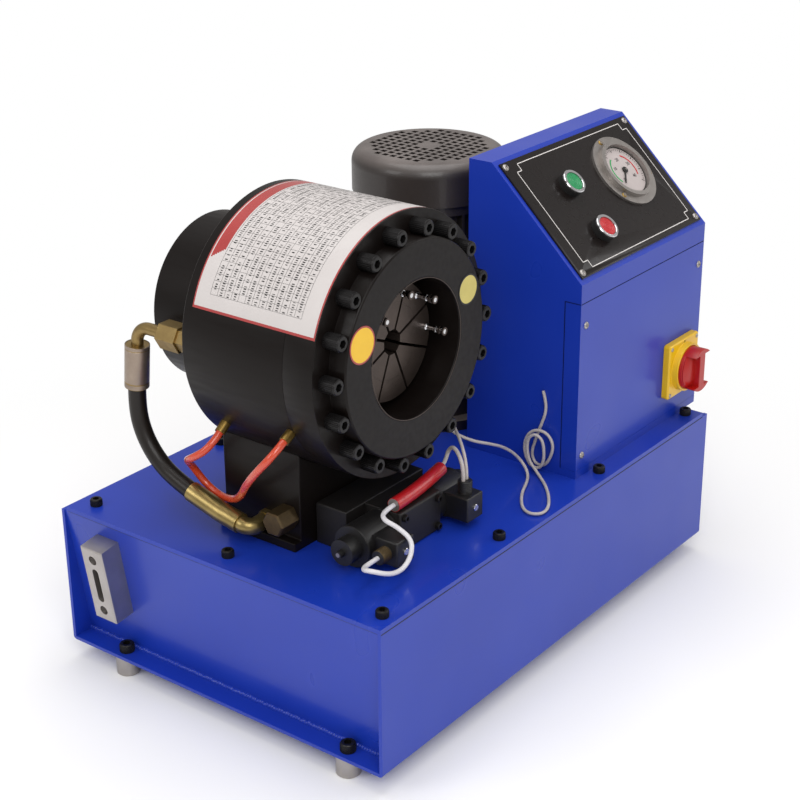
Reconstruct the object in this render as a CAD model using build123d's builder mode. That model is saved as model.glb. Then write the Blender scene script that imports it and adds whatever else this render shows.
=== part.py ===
"""Hose crimping machine: a bench unit with a ring-piston crimping head, a hydraulic tank that
is also its base, a flange motor and a control cabinet.

Units are millimetres. The origin is on the floor under the middle of the tank, +X to the right
of someone working at the front, +Y to the back, +Z up. The crimping head's axis runs along Y.
"""

from build123d import *
from math import asin, cos, pi, radians, sin, sqrt, tan
import os

os.makedirs("parts", exist_ok=True)

# ---------------------------------------------------------------- driving dimensions
# Tank
tank_length = 640.0
tank_depth = 440.0
tank_height = 163.0
tank_wall = 4.0
end_rake = 25.0  # how far the foot of each end panel stands in from the end
end_top_step = 1.0
seat_flange = 24.0
lid_thickness = 5.0
lid_back_step = 10.0
lid_right_step = 12.0
foot_height = 22.0
foot_diameter = 26.0
foot_inset = 13.0
foot_front_margin = 54.0
foot_back_margin = 72.0
lid_screw_size = 8.0
foot_screw_size = 10.0

# Sight gauge on the left end panel
sight_width = 32.0
sight_depth = 26.0
sight_length = 93.0
sight_from_front = 374.0
sight_top_drop = 17.0
sight_slot_width = 9.0
sight_slot_length = 43.0
sight_screw_pitch = 66.0
sight_screw_recess = 5.5
sight_recess_depth = 8.0

# Crimping head
head_x = -154.0
head_axis_height = 213.0  # above the lid
head_front = -140.0
boss_radius = 113.0
boss_height = 20.0
cover_flange = 37.0
mouth_radius = 72.0
barrel_radius = 138.0
barrel_length = 133.0
barrel_bore = 100.0
barrel_back_wall = 10.0
neck_radius = 91.0
neck_length = 87.0
neck_wall = 12.0
neck_end_hole = 46.0
flange_bolt_count = 18
flange_bolt_circle = 121.5
flange_bolt_size = 10.0
flange_bolt_head = 19.0

# Dies and ring piston
die_count = 8
die_opening = 26.0  # across the flats of the octagon
die_gap = 3.0
jaw_outer = 40.0
jaw_length = 86.0
jaw_seat_gap = 0.15
die_recess = 32.0  # die faces behind the front of the boss
nose_radius = 62.0
base_cone_radius = 90.5
base_length = 62.0
cone_angle = 15.0
cone_gap = 0.3
close_travel = 3.0
open_travel = 9.0
piston_clearance = 0.08
piston_land = 76.0
tail_radius = 70.0
tail_length = 75.0
pull_pin_radius = 2.5
pull_pin_reach = 25.0
pull_pin_circle = 55.0
pull_pin_dies = (0, 1, 2, 3)

# Pedestal under the head
pedestal_width = 176.0
pedestal_front = 84.0  # behind the front of the boss
pedestal_depth = 104.0
pedestal_flange = 10.0
pedestal_flange_step = 10.0

# Motor
motor_x = 147.0
motor_y = 70.0
motor_height = 320.0
motor_core_radius = 72.0
motor_fin_radius = 84.0
motor_fin_count = 28
motor_fin_thickness = 3.0
motor_flange_radius = 100.0
motor_flange_thickness = 12.0
motor_shield = 24.0
fan_cover_radius = 90.0
fan_cover_height = 45.0
fan_cover_wall = 1.5
fan_cover_shoulder = 16.0
grille_hole = 7.0
grille_pitch = 11.0
shaft_radius = 10.0
fan_radius = 72.0
fan_blades = 7

# Control cabinet
cabinet_left = 62.5
cabinet_width = 270.0
cabinet_front = -194.5
cabinet_depth = 147.5
cabinet_height = 343.0
cabinet_knee = 228.0  # height of the foot of the slope above the lid
cabinet_slope_run = 118.0
cabinet_wall = 2.5
door_gap = 0.3
door_bottom = 9.0
door_height = 197.0
door_return = 20.0
door_frame = 16.0
panel_margin = 6.0
panel_thickness = 2.0
panel_screw_inset = 6.0

# Operators on the sloping panel
button_from_left = 88.0
close_button_up = 106.0
open_button_up = 44.5
bezel_radius = 14.9
bezel_height = 10.0
button_radius = 11.2
button_travel = 3.0
button_clearance = 0.1
dial_from_left = 192.0
dial_up = 96.5
dial_flange_radius = 46.0
dial_flange_thickness = 3.0
dial_rim_radius = 37.0
dial_rim_height = 8.0
dial_radius = 32.0
dial_depth = 6.0
dial_screw_circle = 41.5

# Main switch on the door
switch_x = 283.0
switch_above_lid = 66.0
switch_plate = 68.0
switch_plate_thickness = 9.0
switch_ring_radius = 29.0
switch_ring_height = 8.0
switch_knob_radius = 26.0
switch_knob_height = 17.0
switch_clearance = 0.2

# ---------------------------------------------------------------- derived places
left = -tank_length / 2
right = tank_length / 2
front = -tank_depth / 2
back = tank_depth / 2
tank_top = foot_height + tank_height
deck = tank_top + lid_thickness
axis_z = deck + head_axis_height
cover_face = head_front + boss_height
cover_back = cover_face + cover_flange
barrel_back = cover_back + barrel_length
neck_back = barrel_back + neck_length
cone_slope = tan(radians(cone_angle))
half_pitch = radians(180.0 / die_count)


def save(piece, name):
    """Labels a finished sub-part and writes its STEP file."""
    piece.part.label = name
    export_step(piece.part, f"parts/{name}.step")


def socket_screws(size, head, shank, places):
    """Socket-head screws: each place is the plane of the seat under the head."""
    head_radius = 0.8 * size
    key_radius = 0.46 * size
    key_depth = 0.5 * head
    with BuildPart() as screws:
        for place in places:
            with BuildSketch(place):
                Circle(head_radius)
            extrude(amount=head)
            with BuildSketch(place.offset(head)):
                RegularPolygon(key_radius, 6)
            extrude(amount=-key_depth, mode=Mode.SUBTRACT)
            with BuildSketch(place):
                Circle(size / 2)
            extrude(amount=-shank)
    return screws


# ---------------------------------------------------------------- tank
with BuildPart() as tank:
    with BuildSketch(Plane.YZ.offset(left)):
        with Locations((0, foot_height + tank_height / 2)):
            Rectangle(tank_depth, tank_height)
        with Locations((0, foot_height + tank_wall + tank_height / 2)):
            Rectangle(tank_depth - 2 * tank_wall, tank_height, mode=Mode.SUBTRACT)
    extrude(amount=tank_length)
    fillet(
        tank.edges().filter_by(Axis.X).group_by(Axis.Z)[0],
        radius=tank_wall,
    )
    foot_places = [
        (x, y)
        for x in (left + foot_inset, right - foot_inset)
        for y in (front + foot_front_margin, back - foot_back_margin)
    ]
    with BuildSketch(Plane.XY.offset(foot_height)):
        with Locations(*foot_places):
            Circle(foot_screw_size / 2)
    extrude(amount=tank_wall, mode=Mode.SUBTRACT)
    # raked end panels, welded in, each with a flange that the lid rests on
    for side in (-1, 1):
        with BuildSketch(Plane.XZ.offset(back - tank_wall)):
            with BuildLine():
                Polyline(
                    (side * (right - end_rake), foot_height + tank_wall),
                    (side * (right - end_top_step), tank_top),
                    (side * (right - end_top_step - seat_flange), tank_top),
                    (side * (right - end_top_step - seat_flange), tank_top - tank_wall),
                    (side * (right - end_top_step - 2 * tank_wall), tank_top - tank_wall),
                    (side * (right - end_rake - tank_wall), foot_height + tank_wall),
                    close=True,
                )
            make_face()
        extrude(amount=-(tank_depth - 2 * tank_wall))
save(tank, "tank")

lid_screw_margin = 22.0
lid_screw_front = 15.0
lid_screw_columns = 4
lid_length = tank_length - lid_right_step
lid_depth = tank_depth - lid_back_step
screw_pitch_x = (lid_length - 2 * lid_screw_margin + lid_right_step / 2) / (lid_screw_columns - 1)
screw_rows = (front + lid_screw_front, front + lid_depth / 2, front + lid_depth - lid_screw_margin)
screw_columns = [left + lid_screw_margin + i * screw_pitch_x for i in range(lid_screw_columns)]
lid_screw_places = [(x, screw_rows[0]) for x in screw_columns]
lid_screw_places += [(x, screw_rows[2]) for x in screw_columns]
lid_screw_places += [(screw_columns[0], screw_rows[1]), (screw_columns[-1], screw_rows[1])]

with BuildPart() as tank_lid:
    with BuildSketch(Plane.XY.offset(tank_top)):
        with Locations((left + lid_length / 2, front + lid_depth / 2)):
            Rectangle(lid_length, lid_depth)
        with Locations(*lid_screw_places):
            Circle(lid_screw_size / 2, mode=Mode.SUBTRACT)
    extrude(amount=lid_thickness)
save(tank_lid, "tank_lid")

lid_planes = [Plane((x, y, deck)) for x, y in lid_screw_places]
lid_screws = socket_screws(lid_screw_size, lid_screw_size, lid_thickness, lid_planes)
save(lid_screws, "lid_screws")

with BuildPart() as feet:
    with BuildSketch(Plane.XY):
        with Locations(*foot_places):
            Circle(foot_diameter / 2)
    extrude(amount=foot_height)
    foot_chamfer = 1.0
    chamfer(feet.edges().group_by(Axis.Z)[0], length=foot_chamfer)
    foot_thread_depth = 16.0
    with BuildSketch(Plane.XY.offset(foot_height)):
        with Locations(*foot_places):
            Circle(foot_screw_size / 2)
    extrude(amount=-foot_thread_depth, mode=Mode.SUBTRACT)
save(feet, "feet")

foot_planes = [Plane((x, y, foot_height + tank_wall)) for x, y in foot_places]
foot_thread_end = 2.0
foot_shank = tank_wall + foot_thread_depth - foot_thread_end
foot_bolts = socket_screws(foot_screw_size, foot_screw_size, foot_shank, foot_planes)
save(foot_bolts, "foot_bolts")

# Sight gauge: stands square on the raked end panel.
rake_run = end_rake - end_top_step
rake_rise = tank_height - tank_wall
rake_length = sqrt(rake_run**2 + rake_rise**2)
rake_up = Vector(-rake_run / rake_length, 0, rake_rise / rake_length)
rake_out = Vector(-rake_rise / rake_length, 0, -rake_run / rake_length)
sight_centre_down = sight_top_drop + sight_length / 2
sight_origin = (
    Vector(left + end_top_step, front + sight_from_front, tank_top) - rake_up * sight_centre_down
)
sight_plane = Plane(sight_origin, x_dir=(0, -1, 0), z_dir=rake_out)

with BuildPart() as sight_gauge:
    with BuildSketch(sight_plane):
        Rectangle(sight_width, sight_length)
    extrude(amount=sight_depth)
    sight_edge = 1.2
    chamfer(sight_gauge.faces().sort_by(Axis.X)[0].edges(), length=sight_edge)
    with BuildSketch(sight_plane.offset(sight_depth)):
        SlotOverall(sight_slot_length, sight_slot_width, rotation=90)
    sight_slot_depth = 14.0
    extrude(amount=-sight_slot_depth, mode=Mode.SUBTRACT)
    with BuildSketch(sight_plane.offset(sight_depth)):
        with GridLocations(0, sight_screw_pitch, 1, 2):
            Circle(sight_screw_recess)
    extrude(amount=-sight_recess_depth, mode=Mode.SUBTRACT)
save(sight_gauge, "sight_gauge")

# ---------------------------------------------------------------- crimping head
# Round pieces of the head are turned about its own axis: a profile in (radius, distance back).
head_plane = Plane((head_x, 0, axis_z), x_dir=(1, 0, 0), z_dir=(0, 0, 1))
head_axis = Axis((head_x, 0, axis_z), (0, 1, 0))


def face_plane(y):
    """A plane across the head's axis at y that faces the front, with +X to the right."""
    return Plane((head_x, y, axis_z), x_dir=(1, 0, 0), z_dir=(0, -1, 0))


def ring_profile(points):
    """Half section of a piece turned about the head's axis, from (radius, y) corners."""
    with BuildSketch(head_plane) as profile:
        with BuildLine():
            Polyline(*points, close=True)
        make_face()
    return profile.sketch


bolt_hole_gap = 0.5
with BuildPart() as front_cover:
    profile = ring_profile(
        [
            (mouth_radius, head_front),
            (boss_radius, head_front),
            (boss_radius, cover_face),
            (barrel_radius, cover_face),
            (barrel_radius, cover_back),
            (mouth_radius, cover_back),
        ]
    )
    revolve(profile, axis=head_axis)
    cover_edge = 1.5
    chamfer(front_cover.edges().group_by(Axis.Y)[0], length=cover_edge)
    with BuildSketch(face_plane(cover_face)):
        with PolarLocations(flange_bolt_circle, flange_bolt_count):
            Circle(flange_bolt_size / 2 + bolt_hole_gap)
    extrude(amount=-cover_flange, mode=Mode.SUBTRACT)
save(front_cover, "front_cover")

flange_grip = 55.0
bolt_step = 360.0 / flange_bolt_count
flange_planes = [
    Plane(
        (
            head_x + flange_bolt_circle * cos(radians(i * bolt_step)),
            cover_face,
            axis_z + flange_bolt_circle * sin(radians(i * bolt_step)),
        ),
        x_dir=(1, 0, 0),
        z_dir=(0, -1, 0),
    )
    for i in range(flange_bolt_count)
]
flange_bolts = socket_screws(flange_bolt_size, flange_bolt_head, flange_grip, flange_planes)
save(flange_bolts, "flange_bolts")

barrel_floor = barrel_back - barrel_back_wall
tail_bore = tail_radius + piston_clearance
with BuildPart() as barrel:
    profile = ring_profile(
        [
            (barrel_bore, cover_back),
            (barrel_radius, cover_back),
            (barrel_radius, barrel_back),
            (tail_bore, barrel_back),
            (tail_bore, barrel_floor),
            (barrel_bore, barrel_floor),
        ]
    )
    revolve(profile, axis=head_axis)
    barrel_edge = 2.0
    chamfer(barrel.edges().group_by(Axis.Y)[-1].sort_by(SortBy.RADIUS)[-1], length=barrel_edge)
    with BuildSketch(face_plane(cover_back)):
        with PolarLocations(flange_bolt_circle, flange_bolt_count):
            Circle(flange_bolt_size / 2)
    thread_end = 2.0
    extrude(amount=-(flange_grip - cover_flange + thread_end), mode=Mode.SUBTRACT)
save(barrel, "barrel")

neck_bore = 76.0
with BuildPart() as neck:
    profile = ring_profile(
        [
            (neck_bore, barrel_back),
            (neck_radius, barrel_back),
            (neck_radius, neck_back),
            (neck_end_hole, neck_back),
            (neck_end_hole, neck_back - neck_wall),
            (neck_bore, neck_back - neck_wall),
        ]
    )
    revolve(profile, axis=head_axis)
    neck_edge = 3.0
    chamfer(neck.edges().group_by(Axis.Y)[-1].sort_by(SortBy.RADIUS)[-1], length=neck_edge)
save(neck, "neck")

# Die set. The cone narrows to the back: the ring piston closes the dies as it moves forward.
die_face = head_front + die_recess
shoulder = cover_back + cone_gap
base_back = shoulder + base_length
base_back_radius = base_cone_radius - base_length * cone_slope


def sector(plane, inner, outer, flat_inside):
    """The outline of one die segment, its sides parallel to the gaps beside it."""
    half_gap = die_gap / 2
    outer_turn = half_pitch - asin(half_gap / outer)
    corner = (outer * cos(outer_turn), outer * sin(outer_turn))
    if flat_inside:
        inner_corner = (inner, inner * tan(half_pitch) - half_gap / cos(half_pitch))
    else:
        inner_turn = half_pitch - asin(half_gap / inner)
        inner_corner = (inner * cos(inner_turn), inner * sin(inner_turn))
    with BuildSketch(plane) as outline:
        with BuildLine():
            Line(inner_corner, corner)
            ThreePointArc(corner, (outer, 0), (corner[0], -corner[1]))
            Line((corner[0], -corner[1]), (inner_corner[0], -inner_corner[1]))
            if flat_inside:
                Line((inner_corner[0], -inner_corner[1]), inner_corner)
            else:
                ThreePointArc((inner_corner[0], -inner_corner[1]), (inner, 0), inner_corner)
        make_face()
    return outline.sketch


def die_plane(index, y):
    """A plane across the axis whose local +X points out along one die."""
    turn = radians(index * 360.0 / die_count)
    return Plane((head_x, y, axis_z), x_dir=(cos(turn), 0, sin(turn)), z_dir=(0, -1, 0))


for index in range(die_count):
    number = index + 1
    with BuildPart() as jaw:
        outline = sector(die_plane(index, die_face), die_opening / 2, jaw_outer, True)
        extrude(outline, amount=-jaw_length)
    save(jaw, f"die_jaw_{number}")

    seat = jaw_outer + jaw_seat_gap
    with BuildPart() as base:
        outline = sector(die_plane(index, shoulder), seat, base_cone_radius, False)
        extrude(outline, amount=-base_length)
        with BuildPart(mode=Mode.PRIVATE) as cone:
            profile = ring_profile(
                [
                    (0, shoulder),
                    (base_cone_radius, shoulder),
                    (base_back_radius, base_back),
                    (0, base_back),
                ]
            )
            revolve(profile, axis=head_axis)
        add(cone.part, mode=Mode.INTERSECT)
        nose = sector(die_plane(index, die_face), seat, nose_radius, False)
        extrude(nose, amount=-(shoulder - die_face))
        if index in pull_pin_dies:
            knob_radius = 1.7 * pull_pin_radius
            with BuildSketch(die_plane(index, die_face)):
                with Locations((pull_pin_circle, 0)):
                    Circle(pull_pin_radius)
            extrude(amount=pull_pin_reach)
            with BuildSketch(die_plane(index, die_face - pull_pin_reach)):
                with Locations((pull_pin_circle, 0)):
                    Circle(knob_radius)
            extrude(amount=-1.5 * knob_radius)
    save(base, f"die_base_{number}")

# Ring piston: cone in front, tail running back through the barrel's floor.
closing_stroke = close_travel / cone_slope
piston_front_gap = 1.0  # left between piston and cover when the dies are fully closed
piston_floor_gap = 2.0  # and between the piston's floor and the backs of the dies
piston_front = cover_back + closing_stroke + piston_front_gap
piston_floor = base_back + closing_stroke + piston_floor_gap
piston_shoulder = piston_front + piston_land
piston_back = piston_shoulder + tail_length


def cone_radius_at(y):
    """Inside radius of the piston's cone, clear of the die bases."""
    return base_cone_radius - (y - shoulder) * cone_slope + cone_gap / cos(radians(cone_angle))


with BuildPart() as ring_piston:
    profile = ring_profile(
        [
            (cone_radius_at(piston_front), piston_front),
            (barrel_bore - piston_clearance, piston_front),
            (barrel_bore - piston_clearance, piston_shoulder),
            (tail_radius, piston_shoulder),
            (tail_radius, piston_back),
            (neck_end_hole, piston_back),
            (neck_end_hole, piston_floor),
            (cone_radius_at(piston_floor), piston_floor),
        ]
    )
    revolve(profile, axis=head_axis)
save(ring_piston, "ring_piston")

# ---------------------------------------------------------------- pedestal
pedestal_y = head_front + pedestal_front
pedestal_top = axis_z - sqrt(barrel_radius**2 - (pedestal_width / 2) ** 2)
with BuildPart() as pedestal:
    with BuildSketch(Plane.XZ.offset(-pedestal_y)):
        with Locations((head_x, (deck + pedestal_top) / 2)):
            Rectangle(pedestal_width, pedestal_top - deck)
        with Locations((head_x, axis_z)):
            Circle(barrel_radius, mode=Mode.SUBTRACT)
    extrude(amount=-pedestal_depth)
    flange_width = pedestal_width + 2 * pedestal_flange_step
    with BuildSketch(Plane.XY.offset(deck)):
        with Locations((head_x, pedestal_y + pedestal_depth / 2)):
            Rectangle(flange_width, pedestal_depth)
    extrude(amount=pedestal_flange)
save(pedestal, "pedestal")

# ---------------------------------------------------------------- motor
motor_top = deck + motor_height
cover_bottom = motor_top - fan_cover_height
frame_bottom = deck + motor_flange_thickness
upper_shield = cover_bottom - 4.0
motor_axis = Axis((motor_x, motor_y, 0), (0, 0, 1))
shaft_gap = 0.05

with BuildPart() as motor_frame:
    with BuildSketch(Plane.XY.offset(deck)):
        with Locations((motor_x, motor_y)):
            Circle(motor_flange_radius)
            with PolarLocations(0.86 * motor_flange_radius, 4, start_angle=45):
                Circle(6.0, mode=Mode.SUBTRACT)
    extrude(amount=motor_flange_thickness)
    with BuildSketch(Plane.XY.offset(frame_bottom)):
        with Locations((motor_x, motor_y)):
            Circle(motor_fin_radius)
    extrude(amount=motor_shield, taper=6.0)
    with BuildSketch(Plane.XY.offset(frame_bottom)):
        with Locations((motor_x, motor_y)):
            Circle(motor_core_radius)
    extrude(amount=upper_shield - frame_bottom)
    fin_start = frame_bottom + motor_shield
    fin_root = 1.0
    with BuildSketch(Plane.XY.offset(fin_start)):
        with Locations((motor_x, motor_y)):
            with PolarLocations((motor_core_radius + motor_fin_radius - fin_root) / 2, motor_fin_count):
                Rectangle(motor_fin_radius - motor_core_radius + fin_root, motor_fin_thickness)
    extrude(amount=upper_shield - motor_shield / 2 - fin_start)
    with BuildSketch(Plane.XY.offset(upper_shield - motor_shield / 2)):
        with Locations((motor_x, motor_y)):
            Circle(motor_fin_radius)
    extrude(amount=motor_shield / 2)
    with BuildSketch(Plane.XY.offset(upper_shield)):
        with Locations((motor_x, motor_y)):
            Circle(shaft_radius + shaft_gap)
    bearing_depth = 30.0
    extrude(amount=-bearing_depth, mode=Mode.SUBTRACT)
save(motor_frame, "motor_frame")

box_length = 96.0
box_height = 80.0
box_depth = 42.0
with BuildPart() as terminal_box:
    box_middle = deck + motor_height / 2
    box_plane = Plane((motor_x + motor_fin_radius, motor_y, box_middle), z_dir=(1, 0, 0))
    with BuildSketch(box_plane):
        RectangleRounded(box_length, box_height, 8.0)
    extrude(amount=box_depth)
save(terminal_box, "terminal_box")

with BuildPart() as fan_cover:
    with BuildSketch(Plane.XY.offset(upper_shield)):
        with Locations((motor_x, motor_y)):
            Circle(fan_cover_radius)
    extrude(amount=motor_top - upper_shield)
    fillet(fan_cover.edges().group_by(Axis.Z)[-1], radius=fan_cover_shoulder)
    offset(amount=-fan_cover_wall, openings=fan_cover.faces().sort_by(Axis.Z)[0])
    grille_radius = fan_cover_radius - fan_cover_shoulder - grille_pitch / 2
    grille_count = int(2 * grille_radius / grille_pitch)
    grille_places = [
        ((i - (grille_count - 1) / 2) * grille_pitch, (j - (grille_count - 1) / 2) * grille_pitch)
        for i in range(grille_count)
        for j in range(grille_count)
    ]
    hub_radius = 12.0
    grille_places = [
        (motor_x + x, motor_y + y)
        for x, y in grille_places
        if hub_radius < sqrt(x * x + y * y) < grille_radius
    ]
    with BuildSketch(Plane.XY.offset(motor_top)):
        with Locations(*grille_places):
            Rectangle(grille_hole, grille_hole)
    extrude(amount=-2 * fan_cover_wall, mode=Mode.SUBTRACT)
    with BuildSketch(Plane.XY.offset(upper_shield)):
        with Locations((motor_x, motor_y)):
            Circle(fan_cover_radius)
            Circle(motor_fin_radius, mode=Mode.SUBTRACT)
    extrude(amount=fan_cover_wall)
save(fan_cover, "fan_cover")

fan_height = 22.0
fan_bottom = upper_shield + 4.0
with BuildPart() as motor_fan:
    with BuildSketch(Plane.XY.offset(upper_shield - bearing_depth + 1.0)):
        with Locations((motor_x, motor_y)):
            Circle(shaft_radius)
    extrude(amount=bearing_depth + fan_height)
    with BuildSketch(Plane.XY.offset(fan_bottom)):
        with Locations((motor_x, motor_y)):
            Circle(fan_radius)
    extrude(amount=2.0)
    with BuildSketch(Plane.XY.offset(fan_bottom)):
        with Locations((motor_x, motor_y)):
            Circle(1.8 * shaft_radius)
            with PolarLocations(0.6 * fan_radius, fan_blades):
                Rectangle(0.78 * fan_radius, 2.5)
    extrude(amount=fan_height)
save(motor_fan, "motor_fan")

# ---------------------------------------------------------------- control cabinet
cabinet_right = cabinet_left + cabinet_width
cabinet_back = cabinet_front + cabinet_depth
cabinet_top = deck + cabinet_height
knee = deck + cabinet_knee
slope_top_y = cabinet_front + cabinet_slope_run
slope_rise = cabinet_top - knee
slope_length = sqrt(cabinet_slope_run**2 + slope_rise**2)
side_plane = Plane((cabinet_left, 0, 0), x_dir=(0, 1, 0), z_dir=(1, 0, 0))
slope_plane = Plane(
    (cabinet_left, cabinet_front, knee),
    x_dir=(1, 0, 0),
    z_dir=(0, -slope_rise, cabinet_slope_run),
)
door_z = deck + door_bottom
door_top = door_z + door_height
door_wall = cabinet_wall - door_gap

# Pan-head screws: four in the door, four in the panel.
screw_head_radius = 5.0
screw_head_height = 3.0
screw_shank_radius = 2.0
screw_grip = 5.0
screw_hole_gap = 0.2
door_screw_side = 11.0
door_screw_down = 26.0
door_screw_up = 17.0
door_screw_heights = (door_z + door_screw_up, door_top - door_screw_down)
door_screw_columns = (cabinet_left + door_screw_side, cabinet_right - door_screw_side)
door_screw_places = [(x, z) for x in door_screw_columns for z in door_screw_heights]
panel_width = cabinet_width - 2 * panel_margin
panel_length = slope_length - 2 * panel_margin
panel_screw_places = [
    (x, y)
    for x in (panel_margin + panel_screw_inset, cabinet_width - panel_margin - panel_screw_inset)
    for y in (panel_margin + panel_screw_inset, slope_length - panel_margin - panel_screw_inset)
]

button_places = ((button_from_left, close_button_up), (button_from_left, open_button_up))
dial_place = (dial_from_left, dial_up)
button_bore = 11.5
dial_bore = dial_rim_radius - 2.0
dial_back = 30.0

with BuildPart() as cabinet:
    with BuildSketch(side_plane):
        with BuildLine():
            Polyline(
                (cabinet_front, deck),
                (cabinet_front, knee),
                (slope_top_y, cabinet_top),
                (cabinet_back, cabinet_top),
                (cabinet_back, deck),
                close=True,
            )
        make_face()
    extrude(amount=cabinet_width)
    offset(amount=-cabinet_wall, openings=cabinet.faces().sort_by(Axis.Z)[0])
    # the pocket that the door fills, flush with the front and both sides
    with BuildSketch(Plane.XY.offset(door_z)):
        with Locations(((cabinet_left + cabinet_right) / 2, cabinet_front + door_return / 2)):
            Rectangle(cabinet_width, door_return)
            with Locations((0, cabinet_wall)):
                Rectangle(cabinet_width - 2 * cabinet_wall, door_return, mode=Mode.SUBTRACT)
    extrude(amount=door_height, mode=Mode.SUBTRACT)
    # the frame behind the door, open in the middle
    with BuildSketch(Plane.XY.offset(deck)):
        with Locations(((cabinet_left + cabinet_right) / 2, cabinet_front + door_return)):
            Rectangle(
                cabinet_width - 2 * cabinet_wall,
                2 * (door_return - cabinet_wall),
            )
            Rectangle(
                cabinet_width - 4 * cabinet_wall,
                2 * (door_return - 2 * cabinet_wall),
                mode=Mode.SUBTRACT,
            )
    extrude(amount=door_bottom + door_height + door_frame)
    with BuildSketch(Plane.XZ.offset(-cabinet_front)):
        with Locations(((cabinet_left + cabinet_right) / 2, door_z + door_height / 2)):
            Rectangle(cabinet_width - 2 * door_frame, door_height - 2 * door_frame)
    extrude(amount=-3 * cabinet_wall, mode=Mode.SUBTRACT)
    # holes for the buttons and the pressure gauge
    with BuildSketch(slope_plane):
        with Locations(*button_places):
            Circle(button_bore)
        with Locations(dial_place):
            Circle(dial_bore)
        with Locations(*panel_screw_places):
            Circle(screw_shank_radius)
    extrude(amount=-2 * cabinet_wall, mode=Mode.SUBTRACT)
    # threads for the door's screws
    with BuildSketch(Plane.XZ.offset(-cabinet_front)):
        with Locations(*door_screw_places):
            Circle(screw_shank_radius)
    extrude(amount=-3 * cabinet_wall, mode=Mode.SUBTRACT)
save(cabinet, "cabinet")

cabinet_middle = (cabinet_left + cabinet_right) / 2
with BuildPart() as door:
    with BuildSketch(Plane.XY.offset(door_z + door_gap)):
        with Locations((cabinet_middle, cabinet_front + (door_return - door_gap) / 2)):
            Rectangle(cabinet_width, door_return - door_gap)
            with Locations((0, door_wall)):
                Rectangle(cabinet_width - 2 * door_wall, door_return - door_gap, mode=Mode.SUBTRACT)
    extrude(amount=door_height - 2 * door_gap)
    with BuildSketch(Plane.XZ.offset(-cabinet_front)):
        with Locations(*door_screw_places):
            Circle(screw_shank_radius + screw_hole_gap)
    extrude(amount=-door_wall, mode=Mode.SUBTRACT)
save(door, "door")


def pan_screws(planes, shank):
    """Pan-head screws with a cross recess, each standing on its plane."""
    with BuildPart() as screws:
        for plane in planes:
            with BuildSketch(plane):
                Circle(screw_head_radius)
            extrude(amount=screw_head_height, taper=20)
            with BuildSketch(plane):
                Circle(screw_shank_radius)
            extrude(amount=-shank)
    return screws


with BuildPart() as control_panel:
    with BuildSketch(slope_plane):
        with Locations((cabinet_width / 2, slope_length / 2)):
            Rectangle(panel_width, panel_length)
        with Locations(*button_places):
            Circle(button_bore, mode=Mode.SUBTRACT)
        with Locations(dial_place):
            Circle(dial_bore, mode=Mode.SUBTRACT)
        with Locations(*panel_screw_places):
            Circle(screw_shank_radius + screw_hole_gap, mode=Mode.SUBTRACT)
    extrude(amount=panel_thickness)
save(control_panel, "control_panel")


def slope_point(place, height):
    """A plane on the slope, facing out of it, at (along, up) from the slope's lower left corner."""
    lifted = slope_plane.offset(height)
    origin = lifted.from_local_coords(Vector(place[0], place[1], 0))
    return Plane(origin, x_dir=(1, 0, 0), z_dir=slope_plane.z_dir)


panel_planes = [slope_point(place, panel_thickness) for place in panel_screw_places]
door_planes = [
    Plane((x, cabinet_front, z), x_dir=(1, 0, 0), z_dir=(0, -1, 0)) for x, z in door_screw_places
]

cabinet_screws = pan_screws(panel_planes + door_planes, screw_grip)
save(cabinet_screws, "cabinet_screws")

# Push buttons: a bezel clamped through the panel and a cap that slides in it.
bezel_tube = 22.0
cap_stem = 18.0
for place, colour in zip(button_places, ("close", "open")):
    seat_plane = slope_point(place, panel_thickness)
    with BuildPart() as bezel:
        with BuildSketch(seat_plane):
            Circle(bezel_radius)
            Circle(button_radius + button_clearance, mode=Mode.SUBTRACT)
        extrude(amount=bezel_height)
        bezel_edge = 0.8
        out_of_panel = Axis(seat_plane.origin, seat_plane.z_dir)
        chamfer(bezel.faces().sort_by(out_of_panel)[-1].edges(), length=bezel_edge)
        tube_wall = 1.5
        with BuildSketch(seat_plane):
            Circle(button_bore - button_clearance)
            Circle(button_bore - button_clearance - tube_wall, mode=Mode.SUBTRACT)
        extrude(amount=-bezel_tube)
    save(bezel, f"{colour}_bezel")

    cap_foot = button_travel + 1.5
    with BuildPart() as cap:
        with BuildSketch(seat_plane.offset(cap_foot)):
            Circle(button_radius)
        extrude(amount=bezel_height - cap_foot - 1.0)
        with BuildSketch(seat_plane.offset(cap_foot)):
            Circle(0.6 * button_radius)
        extrude(amount=-cap_stem)
    save(cap, f"{colour}_button")

# Pressure gauge: flange-mounted case, pointer on a pivot pin.
dial_seat = slope_point(dial_place, panel_thickness)
dial_face = dial_seat.offset(dial_rim_height - dial_depth)
with BuildPart() as pressure_gauge:
    with BuildSketch(dial_seat):
        Circle(dial_flange_radius)
    extrude(amount=dial_flange_thickness)
    with BuildSketch(dial_seat):
        Circle(dial_rim_radius)
    extrude(amount=dial_rim_height)
    with BuildSketch(dial_seat):
        Circle(dial_bore - button_clearance)
    extrude(amount=-dial_back)
    with BuildSketch(dial_face):
        Circle(dial_radius)
    extrude(amount=dial_depth, mode=Mode.SUBTRACT)
    with BuildSketch(dial_seat.offset(dial_flange_thickness)):
        with PolarLocations(dial_screw_circle, 3, start_angle=100):
            Circle(2.2)
    extrude(amount=1.6)
    pivot_radius = 1.2
    with BuildSketch(dial_face):
        Circle(pivot_radius)
    extrude(amount=3.2)
save(pressure_gauge, "pressure_gauge")

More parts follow.
